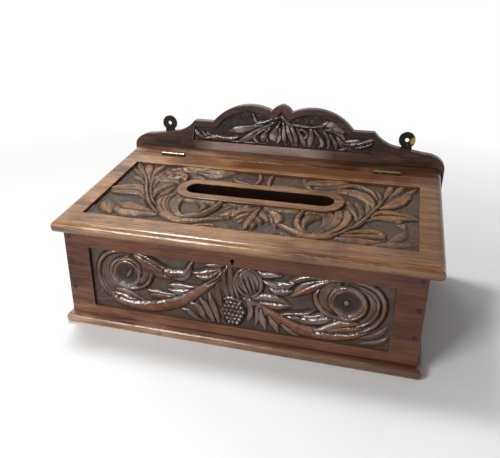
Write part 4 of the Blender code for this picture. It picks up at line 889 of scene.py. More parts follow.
FRONT_RIGHT = [
    (lobe, 2.2, (130, 30, 2), (142, 33, 3), (151, 40, 3), (156, 47, 1.5)),
    (lobe, 2.2, (133, 24, 1.5), (144, 26, 3), (153, 30, 3), (158, 36, 1.5)),
    (flute, 2.1, (116, 90, 4), (134, 85, 5), (142, 74, 5), (142, 60, 5), (136, 48, 5), (126, 41, 3)),
    (flute, 2.3, (104, 88, 4), (94, 80, 5), (92, 70, 5), (97, 60, 5), (108, 55, 4)),
    (leaf, 3.2, (14, 60, 2), (24, 60.5, 4), (35, 61.5, 5), (46, 61, 5), (56, 57, 3.5), (61, 55, 1.2)),
    (leaf, 3.0, (28, 54, 2), (40, 53, 4), (50, 53.5, 4), (59, 56, 2)),
    (leaf, 3.2, (86, 44, 2), (96, 46, 4.5), (108, 46, 4.5), (120, 47.5, 3.5), (128, 46, 1.5)),
    (band, 3.6, (12, 57, 2), (24, 52, 4), (38, 44, 5.6), (53, 36.5, 7), (70, 31, 7.4), (88, 28.5, 6.5),
     (106, 29, 5.6), (121, 32, 4.6), (133, 38, 3.6), (143, 46, 2.8)),
    (leaf, 3.5, (58, 43, 2), (72, 42, 5), (86, 43.5, 5.5), (98, 46.5, 4), (103, 49, 1.5)),
    (bead, 4.0, (50, 45, 1.2), (60, 47.5, 2.6), (70, 48.5, 2.8), (79, 52, 2), (84, 55, 1)),
    (bead, 4.0, (72, 46, 1.2), (82, 48, 2.6), (92, 51.5, 2.8), (98, 53, 1.5)),
    (leaf, 3.8, (86, 32, 1.5), (96, 36, 4), (108, 42, 5), (119, 46, 4), (128, 46, 1.5)),
    (lobe, 3.4, (98, 33, 1.5), (110, 36, 3), (122, 38.5, 3), (131, 41, 1.5)),
    (bead, 4.0, (131, 38, 1.6), (143, 46.5, 2.4), (150.5, 60, 2.6), (150.5, 75, 2.6), (142, 87, 2.4),
     (128, 92.5, 2.2), (112, 93.5, 2.2), (98, 91, 2.4), (88, 83, 2.6), (84.5, 72, 2.6), (88, 61, 2.6),
     (97, 53.5, 2.6), (110, 50.5, 2.5), (123, 52, 2.4), (132, 60, 2.3), (133, 71, 2.2), (127, 81, 2.2),
     (116, 85.5, 2.2), (105, 82, 2.2), (99, 73, 2), (100, 63, 1.8), (107, 56, 1.4)),
    (bead, 2.6, (126, 42, 1), (138, 50, 1.4), (145, 62, 1.5), (144.5, 74, 1.5), (137, 83, 1.4),
     (126, 88, 1)),
    (fold, 3.7, (96, 90, 2.5), (86, 86, 6), (76, 80, 7), (68, 74, 5), (61, 68, 2)),
    (leaf, 4.0, (92, 93, 2), (80, 91.5, 3.6), (69, 88, 4.2), (59, 83, 2.5)),
    (leaf, 4.0, (62, 82, 2), (54, 78.5, 5), (45, 77, 5), (36, 79, 3), (31, 81, 1)),
    (leaf, 3.6, (60, 73, 2), (52, 70.5, 4), (44, 70.5, 3.5), (38, 73, 1.5)),
    (leaf, 4.0, (50, 89, 1.5), (41, 88.5, 3.6), (31, 87.5, 3.6), (20, 90, 2)),
    (leaf, 3.0, (30, 48, 1.2), (30, 40, 3.6), (32, 32, 4), (35, 23, 1.6)),
    (leaf, 2.9, (38, 41, 1.2), (41, 35, 3.4), (45, 29, 3.6), (48, 22, 1.6)),
    (leaf, 2.7, (51, 33, 1.2), (56, 29, 3), (62, 25, 2.8), (69, 22, 1.4)),
    (flute, 3.2, (15, 55, 1.4), (18, 48, 2.4), (18.5, 40, 2.6), (16, 32, 2)),
    (lobe, 2.6, (24, 50, 1.2), (25, 42, 2.6), (25, 34, 2.6), (23, 25, 1.2)),
]
FRONT_CENTRE = [
    (flute, 3.0, (15, 92, 8), (16, 84, 13), (17, 76, 13), (18, 68, 9), (18, 61, 3)),
    (bead, 3.2, (8, 84, 1), (9, 77, 1.8), (12.5, 69, 1.8), (16, 62, 1.2)),
    (bead, 3.4, (13, 83, 1), (15, 76, 2), (18, 68.5, 2), (20, 62.5, 1.2)),
    (bead, 3.5, (18.5, 81, 1), (21, 74.5, 2), (22.5, 68, 2), (22.5, 63, 1.2)),
    (bead, 3.8, (13, 92.5, 1.2), (5.5, 87, 1.8), (2.5, 78, 2), (5, 68, 2), (12, 60, 1.2)),
    (bead, 4.0, (13, 93, 1.4), (23, 89.5, 2), (29, 81, 2.2), (29.5, 72, 2.2), (26, 65, 1.8), (20, 60, 1.2)),
    (flute, 2.8, (-4, 92, 1.5), (-3, 82, 2.6), (-3, 70, 2.8), (-1, 58, 2)),
    (flute, 2.8, (-11, 84, 1.5), (-10, 74, 2.4), (-8, 64, 2.6), (-6, 55, 2)),
    (bead, 3.0, (3, 84, 1), (1, 74, 1.8), (3, 64, 1.8), (6, 56, 1.2)),
]

# The front's coils and berries: places and lengths in millimetres
FRONT_CELL = 0.6
FRONT_SEED = 3
COIL_MIDDLES = ((-118.5, 66.5), (116, 68))
COIL_RADIUS = 15.5
COIL_RIM = 3.7
COIL_FLOOR = 0.7
# How dark the coil dishes are inside: painted shade
COIL_SHADE = 0.4
COIL_BUTTON = {"x": 115, "y": 68, "radius": 3.2, "height": 2.4}
COIL_SPROUT = [(lobe, 2.0, (-119, 62, 1.2), (-115, 67, 2.6), (-112, 73, 1.2))]
BERRY_ROWS = ((50, 4), (45, 5), (40, 6), (35, 5), (30, 4), (25.5, 3))
BERRY_PITCH = 4.3
BERRY_RADIUS = 2.5
BERRY_HEIGHT = 3.6
BERRY_FALL = 0.12
BERRY_STAIN = {"x": 0, "y": 38, "radius": 16, "painted_shade_and_stain": 0.3}
BERRY_LIP = [(lobe, 3.9, (-10, 52, 1.2), (-5, 54, 2.4), (2, 53.5, 2.4), (9, 52, 1.2))]


def carve_berries(panel):
    """Rows of berries that get lower towards the foot, each row with its height and how many it has."""
    for row, (y, count) in enumerate(BERRY_ROWS):
        for i in range(count):
            x = (i - (count - 1) / 2) * BERRY_PITCH
            panel.boss(x, y, BERRY_RADIUS, BERRY_HEIGHT - BERRY_FALL * row)
    panel.stain(**BERRY_STAIN)
    panel.carve(BERRY_LIP)


def carve_front():
    panel = Carving("front_board", PANEL_DEPTH, FRONT_CELL, FRONT_SEED)
    panel.carve(FRONT_LEFT + FRONT_RIGHT)
    for x, y in COIL_MIDDLES:
        panel.dish(x, y, COIL_RADIUS, COIL_RIM, COIL_FLOOR, COIL_SHADE)
    panel.boss(**COIL_BUTTON)
    panel.carve(COIL_SPROUT + FRONT_CENTRE)
    carve_berries(panel)
    return panel


# The lid's carving: y goes up the slope from its front edge, and a cut has a depth in place of a form
LID_BODIES = [
    (bead, 2.5, (-98, 104, 4), (-90, 93, 6), (-76, 88, 7), (0, 87, 7), (76, 88, 7), (90, 93, 6),
     (98, 104, 4)),
    (bead, 1.6, (6, 86, 6), (4, 72, 22), (4, 58, 19), (4, 44, 8)),
    (bead, 1.5, (-100, 49, 4), (-120, 51, 12), (-138, 53, 13), (-152, 57, 6)),
    (bead, 1.5, (-124, 78, 3), (-140, 97, 10), (-156, 96, 13), (-172, 93, 6)),
    (bead, 1.4, (-138, 118, 3), (-150, 142, 10), (-156, 158, 15), (-160, 170, 15)),
    (bead, 1.5, (-92, 95, 8), (-95, 80, 12), (-92, 64, 11), (-82, 50, 8)),
    (bead, 1.4, (-124, 92, 4), (-122, 110, 11), (-118, 130, 13), (-110, 146, 11)),
    (bead, 1.4, (136, 114, 3), (144, 136, 9), (149, 154, 12), (152, 170, 12)),
    (bead, 1.5, (91, 95, 13), (94, 80, 16), (92, 66, 14), (85, 52, 9)),
    (bead, 1.5, (98, 44, 4), (116, 48, 10), (132, 50, 12), (142, 48, 5)),
    (bead, 1.5, (106, 120, 6), (112, 107, 10), (115, 94, 8), (115, 82, 4)),
    (bead, 1.4, (46, 166, 4), (62, 161, 10), (80, 163, 10), (98, 166, 6)),
    (bead, 1.4, (-122, 158, 6), (-100, 160, 12), (-76, 160, 14), (-52, 164, 10)),
]
LID_LEFT = [
    (fold, 2.9, (-150, 41, 3), (-157, 48, 7.5), (-162, 57, 9), (-166, 67, 4)),
    (lobe, 2.2, (-172, 33, 1.5), (-176, 42, 3.4), (-174, 52, 2)),
    (fold, 3.0, (-102, 52, 3), (-116, 55, 7), (-130, 58, 9), (-140, 61, 8.6), (-149, 63, 4)),
    (leaf, 3.4, (-98, 46, 3), (-112, 44.5, 6.5), (-127, 43.5, 8), (-139, 45, 6.5), (-148, 49, 2.6)),
    (lobe, 3.2, (-126, 80, 2), (-137, 92, 7), (-149, 93, 9), (-160, 90, 8.5), (-170, 88, 3)),
    (fold, 3.8, (-120, 74, 2.4), (-129, 91, 5), (-139, 102, 7.4), (-152, 104, 7.8), (-165, 101, 6),
     (-178, 96, 2)),
    (lobe, 2.6, (-140, 112, 2), (-149, 125, 4.6), (-157, 129, 5.6), (-165, 134, 2)),
    (leaf, 2.9, (-144, 124, 2), (-156, 139, 5), (-165, 146, 5.6), (-173, 151, 2)),
    (leaf, 3.2, (-147, 130, 2), (-159, 147, 5), (-168, 159, 5), (-174, 169, 2.4)),
    (leaf, 3.0, (-138, 116, 2), (-142, 136, 4.4), (-142, 153, 5.4), (-139, 169, 4)),
    (leaf, 3.4, (-140, 122, 2), (-150, 144, 5.4), (-155, 158, 6), (-159, 171, 4)),
    (lobe, 3.0, (-103, 151, 3), (-92, 149, 6), (-82, 145, 5), (-75, 142, 2)),
    (fold, 3.6, (-121, 158, 5), (-104, 163, 9.5), (-86, 164, 11), (-69, 161, 13), (-55, 163, 11),
     (-46, 168, 5)),
    (lobe, 4.0, (-88, 157, 3), (-76, 153, 5.5), (-66, 151, 6), (-55, 154, 5), (-48, 158, 2.4)),
    (flute, 3.4, (-126, 90, 2.5), (-131, 104, 5), (-133, 118, 6.6), (-131, 133, 7.8), (-125, 147, 7.4),
     (-115, 157, 5)),
    (lobe, 3.0, (-112, 84, 2), (-108, 96, 5.4), (-106, 108, 5.4), (-103, 119, 2.4)),
    (leaf, 3.5, (-117, 80, 2), (-120, 93, 6), (-117, 106, 7), (-110, 116, 5), (-103, 121, 2)),
    (lobe, 3.0, (-126, 124, 2), (-117, 129, 5), (-108, 128, 4), (-101, 124, 1.6)),
    (fold, 4.0, (-126, 134, 4), (-118, 142, 9.5), (-109, 144, 11), (-101, 141, 7), (-97, 133, 2.4)),
    (flute, 3.4, (-86, 93, 5), (-88, 80, 7), (-86, 66, 6.6), (-79, 54, 5.4), (-68, 47, 3.4)),
    (leaf, 3.5, (-64, 83, 2), (-56, 79, 4.4), (-52, 71, 4.6), (-55, 61, 4), (-63, 53, 2)),
    (fold, 4.1, (-97, 96, 3), (-103, 84, 7.6), (-101, 70, 8), (-94, 57, 7.6), (-84, 46, 7),
     (-70, 40, 5.6), (-56, 41, 4.2), (-42, 46, 3), (-28, 52, 2), (-18, 57, 1.2)),
    (bead, 4.2, (-36, 92, 3.6), (-39, 80, 4.8), (-43, 68, 5.2), (-50, 57, 5.2), (-61, 50, 4.4),
     (-74, 47, 2.4)),
    (bead, 4.1, (-98, 50, 2), (-109, 60, 3), (-119, 74, 3), (-128, 90, 2.8), (-136, 107, 2.6),
     (-144, 124, 2.2), (-154, 140, 1.8), (-164, 156, 1.2)),
    (bead, 3.7, (-103, 61, 1.2), (-113, 73, 2), (-122, 88, 2.2), (-129, 103, 2.2), (-134, 119, 1.8),
     (-138, 136, 1.2)),
    (leaf, 3.0, (-52, 32, 1.4), (-43, 35, 3.4), (-34, 37, 3.4), (-27, 35, 1.4)),
]
LID_RIGHT = [
    (lobe, 2.4, (147, 43, 2), (155, 51, 5.6), (161, 60, 5.6), (164, 70, 2)),
    (lobe, 2.4, (130, 36, 2), (145, 38, 5), (159, 41, 5.4), (173, 45, 2.4)),
    (leaf, 3.0, (98, 41, 3), (110, 40.5, 5.5), (122, 40.5, 6.2), (132, 41, 4.4), (139, 43, 2)),
    (fold, 3.5, (94, 47, 3), (108, 51, 6), (121, 55, 8.4), (132, 57, 9.4), (139, 55, 7), (143, 50, 2.4)),
    (lobe, 3.0, (146, 92, 4), (154, 86, 5.4), (160, 80, 4), (162, 74, 1.4)),
    (fold, 3.9, (120, 79, 2), (130, 92, 7), (142, 98, 12), (153, 98, 11.5), (164, 97, 6), (176, 95, 1.6)),
    (leaf, 2.9, (158, 146, 2), (164, 154, 4), (169, 161, 3), (173, 168, 1.4)),
    (leaf, 2.9, (143, 138, 2), (150, 152, 4.6), (155, 163, 4.4), (160, 172, 2.5)),
    (leaf, 3.0, (138, 134, 2), (142, 150, 4.4), (145, 172, 4)),
    (fold, 3.9, (137, 112, 2.4), (147, 120, 7), (156, 131, 9), (162, 143, 6.5), (166, 152, 1.6)),
    (leaf, 3.0, (129, 106, 1.6), (134, 122, 2.6), (134, 138, 3), (129, 153, 2)),
    (lobe, 3.0, (41, 173, 2.4), (44, 162, 3.4), (49, 151, 3.4), (55, 142, 1.6)),
    (fold, 3.6, (50, 155, 3), (60, 159, 7), (72, 162, 7.4), (86, 166, 5), (98, 170, 3)),
    (lobe, 2.8, (60, 148, 2), (70, 149, 3.6), (80, 150, 3), (88, 152, 1.4)),
    (fold, 3.7, (79, 139, 2.5), (90, 143, 5), (102, 143, 7.4), (114, 139, 8), (122, 129, 7),
     (126, 117, 5), (127, 104, 2.4)),
    (bead, 4.0, (86, 151, 1.8), (97, 157, 3), (106, 159, 3.4), (116, 154, 3), (125, 145, 2.4),
     (131, 132, 1.6)),
    (leaf, 3.0, (121, 119, 1.8), (123, 106, 4), (121, 94, 4), (117, 84, 2)),
    (leaf, 3.3, (109, 118, 2), (114, 105, 5), (116.5, 93, 4.6), (115, 80, 2)),
    (leaf, 3.5, (100, 119, 2), (104.5, 107, 5), (109, 95, 4.8), (113, 82, 2.4)),
    (flute, 3.2, (78, 91, 5), (85, 80, 7.2), (86, 68, 6.6), (82, 55, 5), (75, 46, 2.6)),
    (flute, 3.5, (93, 94, 4), (96.5, 82, 6.4), (95, 69, 6.2), (89, 57, 5), (81, 47, 3)),
    (fold, 4.0, (101, 96, 3.4), (104.5, 83, 6), (103, 69, 6), (97, 57, 5.2), (87, 47, 4.2)),
    (bead, 3.6, (72, 78, 5), (66, 75, 7), (62, 67, 6), (60, 57, 4.4), (63, 47, 2.6)),
    (bead, 4.0, (58, 93, 2), (54.5, 82, 3), (53, 70, 4), (55, 58, 4), (60, 48, 3.6), (68, 42, 3)),
    (fold, 4.1, (28, 58, 1.4), (40, 51.5, 2.6), (51, 45, 3.4), (62, 40, 4), (75, 39, 4), (88, 42, 3.6),
     (98, 48, 2.4)),
    (bead, 4.1, (94, 45, 2), (106, 57, 2.8), (115, 70, 2.8), (122, 85, 2.8), (128, 101, 2.6),
     (134, 118, 2.2), (139, 135, 1.8), (143, 152, 1.2)),
    (leaf, 2.8, (30, 32, 1.4), (37, 36, 3.2), (46, 36, 3), (54, 32, 1.4)),
]
LID_CUTS = [
    (1.2, (-124, 80, 0.6), (-137, 97, 0.8), (-150, 100, 0.8), (-172, 96, 0.5)),
    (1.1, (-106, 51, 0.6), (-128, 55, 0.8), (-147, 63, 0.5)),
    (1.1, (-122, 136, 0.6), (-111, 142, 0.8), (-100, 139, 0.5)),
    (1.0, (-114, 139, 0.5), (-114, 150, 0.5)),
    (1.2, (-117, 159, 0.6), (-95, 160, 0.8), (-72, 158, 0.8), (-50, 160, 0.5)),
    (1.0, (-84, 160, 0.5), (-72, 168, 0.7), (-62, 171, 0.5)),
    (1.0, (-104, 88, 0.5), (-103, 72, 0.8), (-94, 57, 0.8), (-80, 46, 0.5)),
    (1.0, (-99, 90, 0.5), (-97, 72, 0.7), (-89, 58, 0.7), (-76, 47, 0.5)),
    (1.2, (122, 82, 0.6), (136, 95, 0.8), (154, 98, 0.8), (172, 95, 0.5)),
    (1.0, (138, 96, 0.5), (146, 105, 0.6), (152, 108, 0.5)),
    (1.0, (142, 96, 0.5), (149, 90, 0.6), (154, 86, 0.5)),
    (1.1, (98, 47, 0.6), (118, 53, 0.8), (139, 57, 0.5)),
    (1.1, (139, 115, 0.6), (150, 125, 0.8), (161, 143, 0.5)),
    (1.1, (84, 141, 0.5), (102, 146, 0.8), (118, 139, 0.8), (126, 120, 0.5)),
    (1.0, (52, 155, 0.5), (68, 161, 0.7), (84, 165, 0.5)),
    (2.4, (-124, 155, 1), (-105, 154, 1.3), (-88, 152, 1.3), (-74, 146, 1.3), (-60, 144, 1.4),
     (-48, 149, 1.5), (-41, 159, 1.6), (-39, 171, 1.2)),
    (2.2, (-99, 152, 1), (-94, 142, 1.4), (-95, 130, 1.2)),
    (1.8, (-136, 164, 0.8), (-132, 152, 1.2), (-124, 140, 0.8)),
    (2.0, (-168, 84, 0.8), (-156, 82, 1.3), (-143, 82, 1.3), (-132, 78, 0.8)),
    (1.8, (-113, 79, 0.8), (-104, 92, 1.2), (-99, 108, 1)),
    (2.0, (109, 88, 0.8), (108, 74, 1.3), (102, 58, 1.2), (96, 50, 0.8)),
    (2.0, (138, 110, 0.8), (151, 115, 1.4), (162, 126, 1.4), (167, 140, 1)),
    (2.2, (146, 85, 0.8), (158, 84, 1.4), (166, 90, 1.4), (177, 94, 1)),
    (1.6, (100, 42, 0.8), (118, 46, 1.2), (138, 48, 1.2), (146, 52, 0.8)),
    (1.8, (-33, 58, 0.8), (-24, 55, 1.2), (-16, 48, 1)),
    (1.6, (-1, 38, 0.8), (10, 38, 1.2), (22, 46, 1.2), (27, 55, 0.8)),
    (0.9, (-108, 167, 0.6), (-101, 160, 0.9), (-92, 156, 0.7)),
    (1.6, (-13, 71, 0.5), (-16, 77, 0.7), (-17, 82, 0.9)),
    (1.6, (-18, 67, 0.5), (-18, 61, 0.7), (-16, 56, 0.9)),
    (1.2, (-142, 52, 0.6), (-128, 51, 0.9), (-112, 49.5, 0.6)),
    (1.2, (108, 44, 0.6), (122, 46, 0.9), (136, 47, 0.6)),
]
LID_CENTRE = [
    (lobe, 2.8, (-33, 88, 1.4), (-26, 86, 2.6), (-17, 84.5, 2.4), (-8, 84, 1.2)),
    (leaf, 3.2, (-4, 82, 2), (-13, 80, 4), (-21, 77, 4), (-29, 74, 1.6)),
    (fold, 3.5, (0, 78, 4), (-10, 73, 9), (-19, 67, 9.4), (-29, 60, 3)),
    (leaf, 3.4, (22, 72, 1.4), (27, 63, 3.4), (31, 54, 3), (34, 46, 1.4)),
    (fold, 3.6, (21, 79, 2.4), (28, 74, 5.4), (33, 65, 5.8), (33, 55, 2.4)),
    (bead, 3.3, (6, 72, 2.4), (-1, 67, 4.8), (-7, 62, 4.8), (-10, 59, 3)),
    (bead, 3.4, (7, 76, 2.4), (14, 70, 5), (19, 64, 5), (22, 60, 3)),
    (bead, 3.4, (5, 64, 2.4), (0, 57, 4.8), (-4, 52, 4.4), (-6, 49, 2.6)),
    (bead, 3.6, (6, 66, 2.4), (11, 59, 5), (15, 54, 4.8), (17, 51, 2.8)),
    (bead, 3.6, (5, 58, 2.4), (8, 50, 4.8), (10, 45, 4.2), (11, 42, 2.4)),
    (fold, 3.9, (8, 82, 3), (6, 68, 4.6), (4, 52, 5), (3, 36, 2)),
    (bead, 3.9, (8, 84, 1.4), (8, 74, 1.8), (7, 62, 1.4)),
    (bead, 2.8, (6, 33.5, 1.4), (8, 31.5, 1.8), (10, 34, 1)),
    (bead, 3.4, (-40, 150, 1.4), (-34, 142, 2.4), (-24, 138, 2.8), (-10, 137, 2.4)),
    (bead, 3.2, (4, 138, 2), (18, 138.5, 2.8), (32, 139, 2.6), (44, 138, 1.6)),
    (leaf, 3.2, (-12, 168, 2), (-9, 156, 3), (-9, 146, 3), (-12, 138, 1.6)),
    (leaf, 3.2, (4, 168, 2), (3, 156, 3.2), (4, 146, 3.2), (6, 138, 1.6)),
]
LID_CELL = 0.75
LID_SEED = 5


def carve_lid():
    panel = Carving("lid_board", PANEL_DEPTH, LID_CELL, LID_SEED)
    panel.carve(LID_BODIES + LID_LEFT + LID_RIGHT + LID_CENTRE)
    for depth, *points in LID_CUTS:
        panel.cut(depth, points)
    return panel


# The crest's carving: y goes up from the ground
CREST = [
    (bead, 1.8, (-112, 160.4, 1), (-80, 160.2, 1.2), (-50, 160.2, 1.2), (-20, 160.4, 1)),
    (fold, 2.6, (38, 183, 2.5), (38.5, 173, 4.2), (37, 162, 3.4)),
    (fold, 3.0, (72, 177, 2.5), (77, 169, 4.4), (82, 165, 4.4), (89, 161.5, 2.4)),
    (lobe, 2.8, (80, 167, 1.6), (89, 166.5, 2.6), (99, 165.5, 1.4)),
    (leaf, 3.0, (-4, 190, 1.5), (-3, 178, 2.8), (-3, 168, 3), (-6, 161.5, 1.6)),
    (leaf, 3.2, (2, 191, 1.6), (3, 179, 2.8), (4, 169, 3), (7, 161, 1.6)),
    (leaf, 3.2, (7, 189, 1.6), (9, 179, 2.8), (13, 169, 3), (16, 161.5, 1.8)),
    (bead, 3.3, (12, 187, 1.6), (16, 178, 2.8), (19, 170, 3.2), (20, 162.5, 2.8)),
    (leaf, 3.2, (20, 183, 1.6), (25, 175, 3), (28, 168, 3.2), (31, 162, 2.8)),
    (bead, 3.5, (21, 180.5, 1.2), (26.5, 182.2, 2), (31.5, 179.5, 2.2), (33.5, 175, 2), (31, 171.6, 1.8)),
    (bead, 3.5, (43, 182, 1.8), (48.5, 175, 2.8), (53, 168.5, 3.4), (54, 164.8, 3.2), (50.5, 161.6, 2)),
    (leaf, 3.2, (55, 182, 1.8), (60, 174, 2.8), (62, 165.5, 2.6), (61, 161, 1.4)),
    (bead, 3.3, (63, 178, 1.6), (68.5, 170, 2.8), (71, 164, 3), (71.5, 160, 1.8)),
    (bead, 3.2, (75, 160.2, 1.2), (80, 160.6, 1.8), (85, 161.4, 1.2)),
    (lobe, 3.2, (58, 183, 2), (67, 183, 4), (75, 179, 3.6), (80.5, 172.5, 1.8)),
    (leaf, 3.5, (55, 190, 2), (63, 190.5, 4.6), (71, 187, 5), (78.5, 182.5, 2.8)),
    (bead, 3.6, (46, 186.5, 1.8), (51, 188.5, 2.8), (55.5, 191.5, 2.8), (58.5, 194, 1.4)),
    (bead, 3.6, (12, 188.5, 1.4), (20, 187.2, 1.7), (31, 186.4, 1.6), (42, 186.6, 1.7), (50, 188.5, 1.8)),
    (bead, 3.4, (83, 171, 1.6), (90, 172.2, 3), (96, 173, 3), (101.5, 172.4, 1.4)),
    (bead, 3.5, (90, 168, 1.6), (99, 169.4, 2.6), (107, 172.4, 3), (116.5, 176, 1.4)),
    (bead, 3.3, (96, 164.2, 1.6), (104, 165.6, 2.6), (111, 168.4, 2.2), (115, 170.6, 1.2)),
    (leaf, 3.2, (-40, 169, 1.4), (-36, 166, 2), (-32.5, 162.4, 1.8), (-30, 160.8, 1.2)),
    (lobe, 2.8, (-21, 168, 1.4), (-19, 164.5, 2), (-17, 161.5, 1.4)),
    (fold, 3.4, (-55, 161, 2), (-46, 166, 4.4), (-37, 172, 5), (-28, 178, 4.6), (-18, 184, 3.4),
     (-7, 190.5, 1.8)),
    (leaf, 3.5, (-15, 182, 1.6), (-22, 178.5, 3), (-29, 175, 2.6), (-34, 171, 1.2)),
    (bead, 3.5, (-15, 181, 1.4), (-20.5, 175, 3), (-23.5, 169.5, 4.6), (-24, 165.5, 4)),
    (bead, 3.7, (-2, 190, 1.4), (-6, 181.5, 3.2), (-9.5, 174.5, 5.8), (-10.5, 169, 5.4), (-9, 165.6, 3)),
    (leaf, 3.4, (-1, 172, 1.2), (-1.5, 167.5, 2), (-4.5, 163, 1.8)),
    (lobe, 3.6, (-69, 173.5, 1.8), (-61, 175.4, 5), (-51, 177, 5.4), (-41, 180, 4), (-30, 183.4, 2.2),
     (-18, 187, 1.2)),
    (bead, 3.6, (-37.5, 198.5, 1), (-35.8, 193.5, 2), (-33.5, 188.5, 2), (-29, 185, 1.2)),
    (bead, 3.7, (-36, 185, 1), (-28, 187.6, 2.6), (-19, 190, 3), (-9, 194, 3.6), (1, 197, 2.6)),
    (fold, 3.6, (-1, 197.5, 1.8), (4, 193, 3), (9, 189, 2.6), (15, 185, 1.4)),
    (bead, 3.2, (-117.5, 172.5, 1.6), (-114.5, 168, 3), (-109.5, 164, 3.2), (-102, 162.4, 2.2)),
    (bead, 3.2, (-107, 170.4, 1.4), (-103.5, 166.8, 2.4), (-98.5, 164.4, 2.4), (-93, 163.4, 1.6)),
    (bead, 3.2, (-100.5, 170, 1.4), (-96.5, 167, 2.4), (-91, 165.4, 2.2)),
    (bead, 3.7, (-106, 161.8, 1.2), (-97, 163.2, 2.6), (-88, 165, 4), (-78, 164, 3.6), (-67, 164, 3.4),
     (-58, 166.8, 1.6)),
]
CREST_CELL = 0.55
CREST_SEED = 9


def carve_crest():
    panel = Carving("back_board", FIELD_DEPTH, CREST_CELL, CREST_SEED)
    panel.carve(CREST)
    return panel


# Each oak's dark, middle, light and worn tone
LID_TONES = tones((82, 51, 28), (132, 91, 55), (172, 127, 82), (200, 160, 116))
RAIL_TONES = tones((48, 26, 13), (102, 61, 31), (146, 95, 53), (184, 146, 112))
FRONT_TONES = tones((54, 27, 17), (80, 45, 29), (102, 60, 39), (138, 98, 74))
BACK_TONES = tones((38, 23, 18), (60, 38, 30), (84, 54, 41), (114, 88, 78))
BASE_TONES = tones((84, 55, 40), (138, 96, 71), (178, 133, 103), (204, 170, 147))

# Each metal's tarnished colour, bare colour, roughness, metallic share and wear
METALS = {
    "hinge_steel": ((58, 42, 33), (180, 168, 154), 0.28, 0.9, 0.02),
    "lock_brass": ((110, 84, 48), (196, 160, 96), 0.3, 1.0, 0.1),
    "bolt_steel": ((84, 78, 72), (180, 176, 170), 0.32, 1.0, 0.08),
    "hanger_brass": ((38, 31, 27), (176, 148, 80), 0.34, 0.7, 0.0),
    "screw_steel": ((70, 62, 54), (150, 142, 130), 0.35, 0.9, 0.03),
    "nail_iron": ((48, 33, 28), (74, 58, 50), 0.5, 0.4, 0.0),
}
# How bare and bright the hinge's upper faces are: partly wear, partly painted highlight
HINGE_WORN_AND_LIT_TOP = 0.9
EYE_FROM_SIDE = 3 * MM
EYE_FROM_TOP = 11 * MM


def oak_finishes():
    recipes = {
        "lid_oak": dict(
            colours=LID_TONES, tilt=-LID_SLOPE, dull=0.28, bloom=0.35, polish=LID_POLISH,
            layers=[(right_tone_and_painted_falloff, 0.55), (painted_shadow_band, LID_SHADOW_BAND), (painted_wall_shade, 0.5), (painted_underside_shade, 0.65), (painted_slot_shade, 1.0)],
        ),
        "rail_oak": dict(colours=RAIL_TONES, dull=0.3, bloom=0.5, layers=[(right_tone_and_painted_falloff, 0.9)]),
        "front_oak": dict(colours=FRONT_TONES, layers=[(lighter_foot, 0.8), (right_tone_and_painted_falloff, 0.5), (painted_wall_shade, 0.5)]),
        "side_oak": dict(colours=FRONT_TONES, along=Y),
        "back_oak": dict(
            colours=BACK_TONES, dull=0.34, bloom=0.3, layers=[(dust_and_painted_sheen, DUST_SHEEN_BAND), (painted_wall_shade, 0.5)],
        ),
        "base_oak": dict(
            colours=BASE_TONES, dull=0.32, bloom=0.3, polish=BASE_POLISH,
            layers=[(right_tone_and_painted_falloff, 1.0), (painted_shadow_band, BASE_SHADOW_BAND)],
        ),
    }
    return {name: oak(name, **recipe) for name, recipe in recipes.items()}


def metal_finishes():
    low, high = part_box("right_hanger")
    rubbed_at = (high.x - EYE_FROM_SIDE, low.y, high.z - EYE_FROM_TOP)
    extras = {"hinge_steel": {"worn_and_lit_top": HINGE_WORN_AND_LIT_TOP}, "hanger_brass": {"rubbed_at": rubbed_at}}
    return {name: metal(name, *recipe, **extras.get(name, {})) for name, recipe in METALS.items()}


def dress(materials):
    """Gives every CAD node a softened copy in the material of its slot."""
    slots = {part["node"]: part["material_slot"] for part in frame["record"]["subparts"]}
    for node in sorted(frame["nodes"]):
        slot = slots[node]
        rounding = WOOD_ROUNDING if slot.endswith("_oak") else METAL_ROUNDING
        softened(node, rounding, materials[slot], slot)


# Each carving's ground, dark, middle and light tone, the tone of its paler tops (rubbed wear and painted
# sheen) and its stems
FRONT_CARVED = tones((84, 71, 66), (30, 20, 16), (84, 55, 42), (118, 80, 56), (120, 107, 104), (104, 65, 40))
LID_CARVED = tones((82, 69, 61), (40, 27, 20), (106, 77, 56), (154, 116, 84), (116, 93, 77), (132, 97, 66))
CREST_CARVED = tones(
    (54, 46, 44), (26, 20, 17), (92, 74, 67), (136, 115, 106), (188, 178, 177), (104, 82, 74)
)


def lay_carvings():
    front = carved_oak("front_carving", FRONT_CARVED)
    lid = carved_oak("lid_carving", LID_CARVED, tilt=-LID_SLOPE, waxed=0.06)
    crest = carved_oak("crest_carving", CREST_CARVED, uneven=0.45, patch=85.0, rubbed=0.51)
    carve_front().piece("front_carving", "box", "front_oak", front)
    carve_lid().piece("lid_carving", "lid", "lid_oak", lid)
    carve_crest().piece("crest_carving", "box", "back_oak", crest)


# Soft lamps: name, place, what it faces, width and height, power
LAMPS = (
    ("window", (-0.45, -0.9, 0.62), (-0.02, -0.1, 0.08), (0.38, 0.36), 8.5),
    ("skylight", (-0.45, 0.3, 1.12), (0.02, 0, 0.12), (0.3, 0.3), 9.5),
)

# The dome's light: from one direction to another, and its strength at each
DOME_FADE = (0.04, 0.4, 1.0, 0.17)
WALL_RISE = (0.3, 0.7, 0.0, 1.3)
WALL_LEFT = (-0.4, 0.15, 1.0, 0.35)
WHITE = (1.0, 1.0, 1.0, 1.0)


def light_area(name, place, target, size, power):
    data = bpy.data.lights.new(name, "AREA")
    data.shape = "RECTANGLE"
    data.size, data.size_y = size
    data.energy = power
    lamp = bpy.data.objects.new(name, data)
    lamp.location = place
    lamp.rotation_euler = (Vector(target) - Vector(place)).to_track_quat("-Z", "Y").to_euler()
    bpy.context.scene.collection.objects.link(lamp)


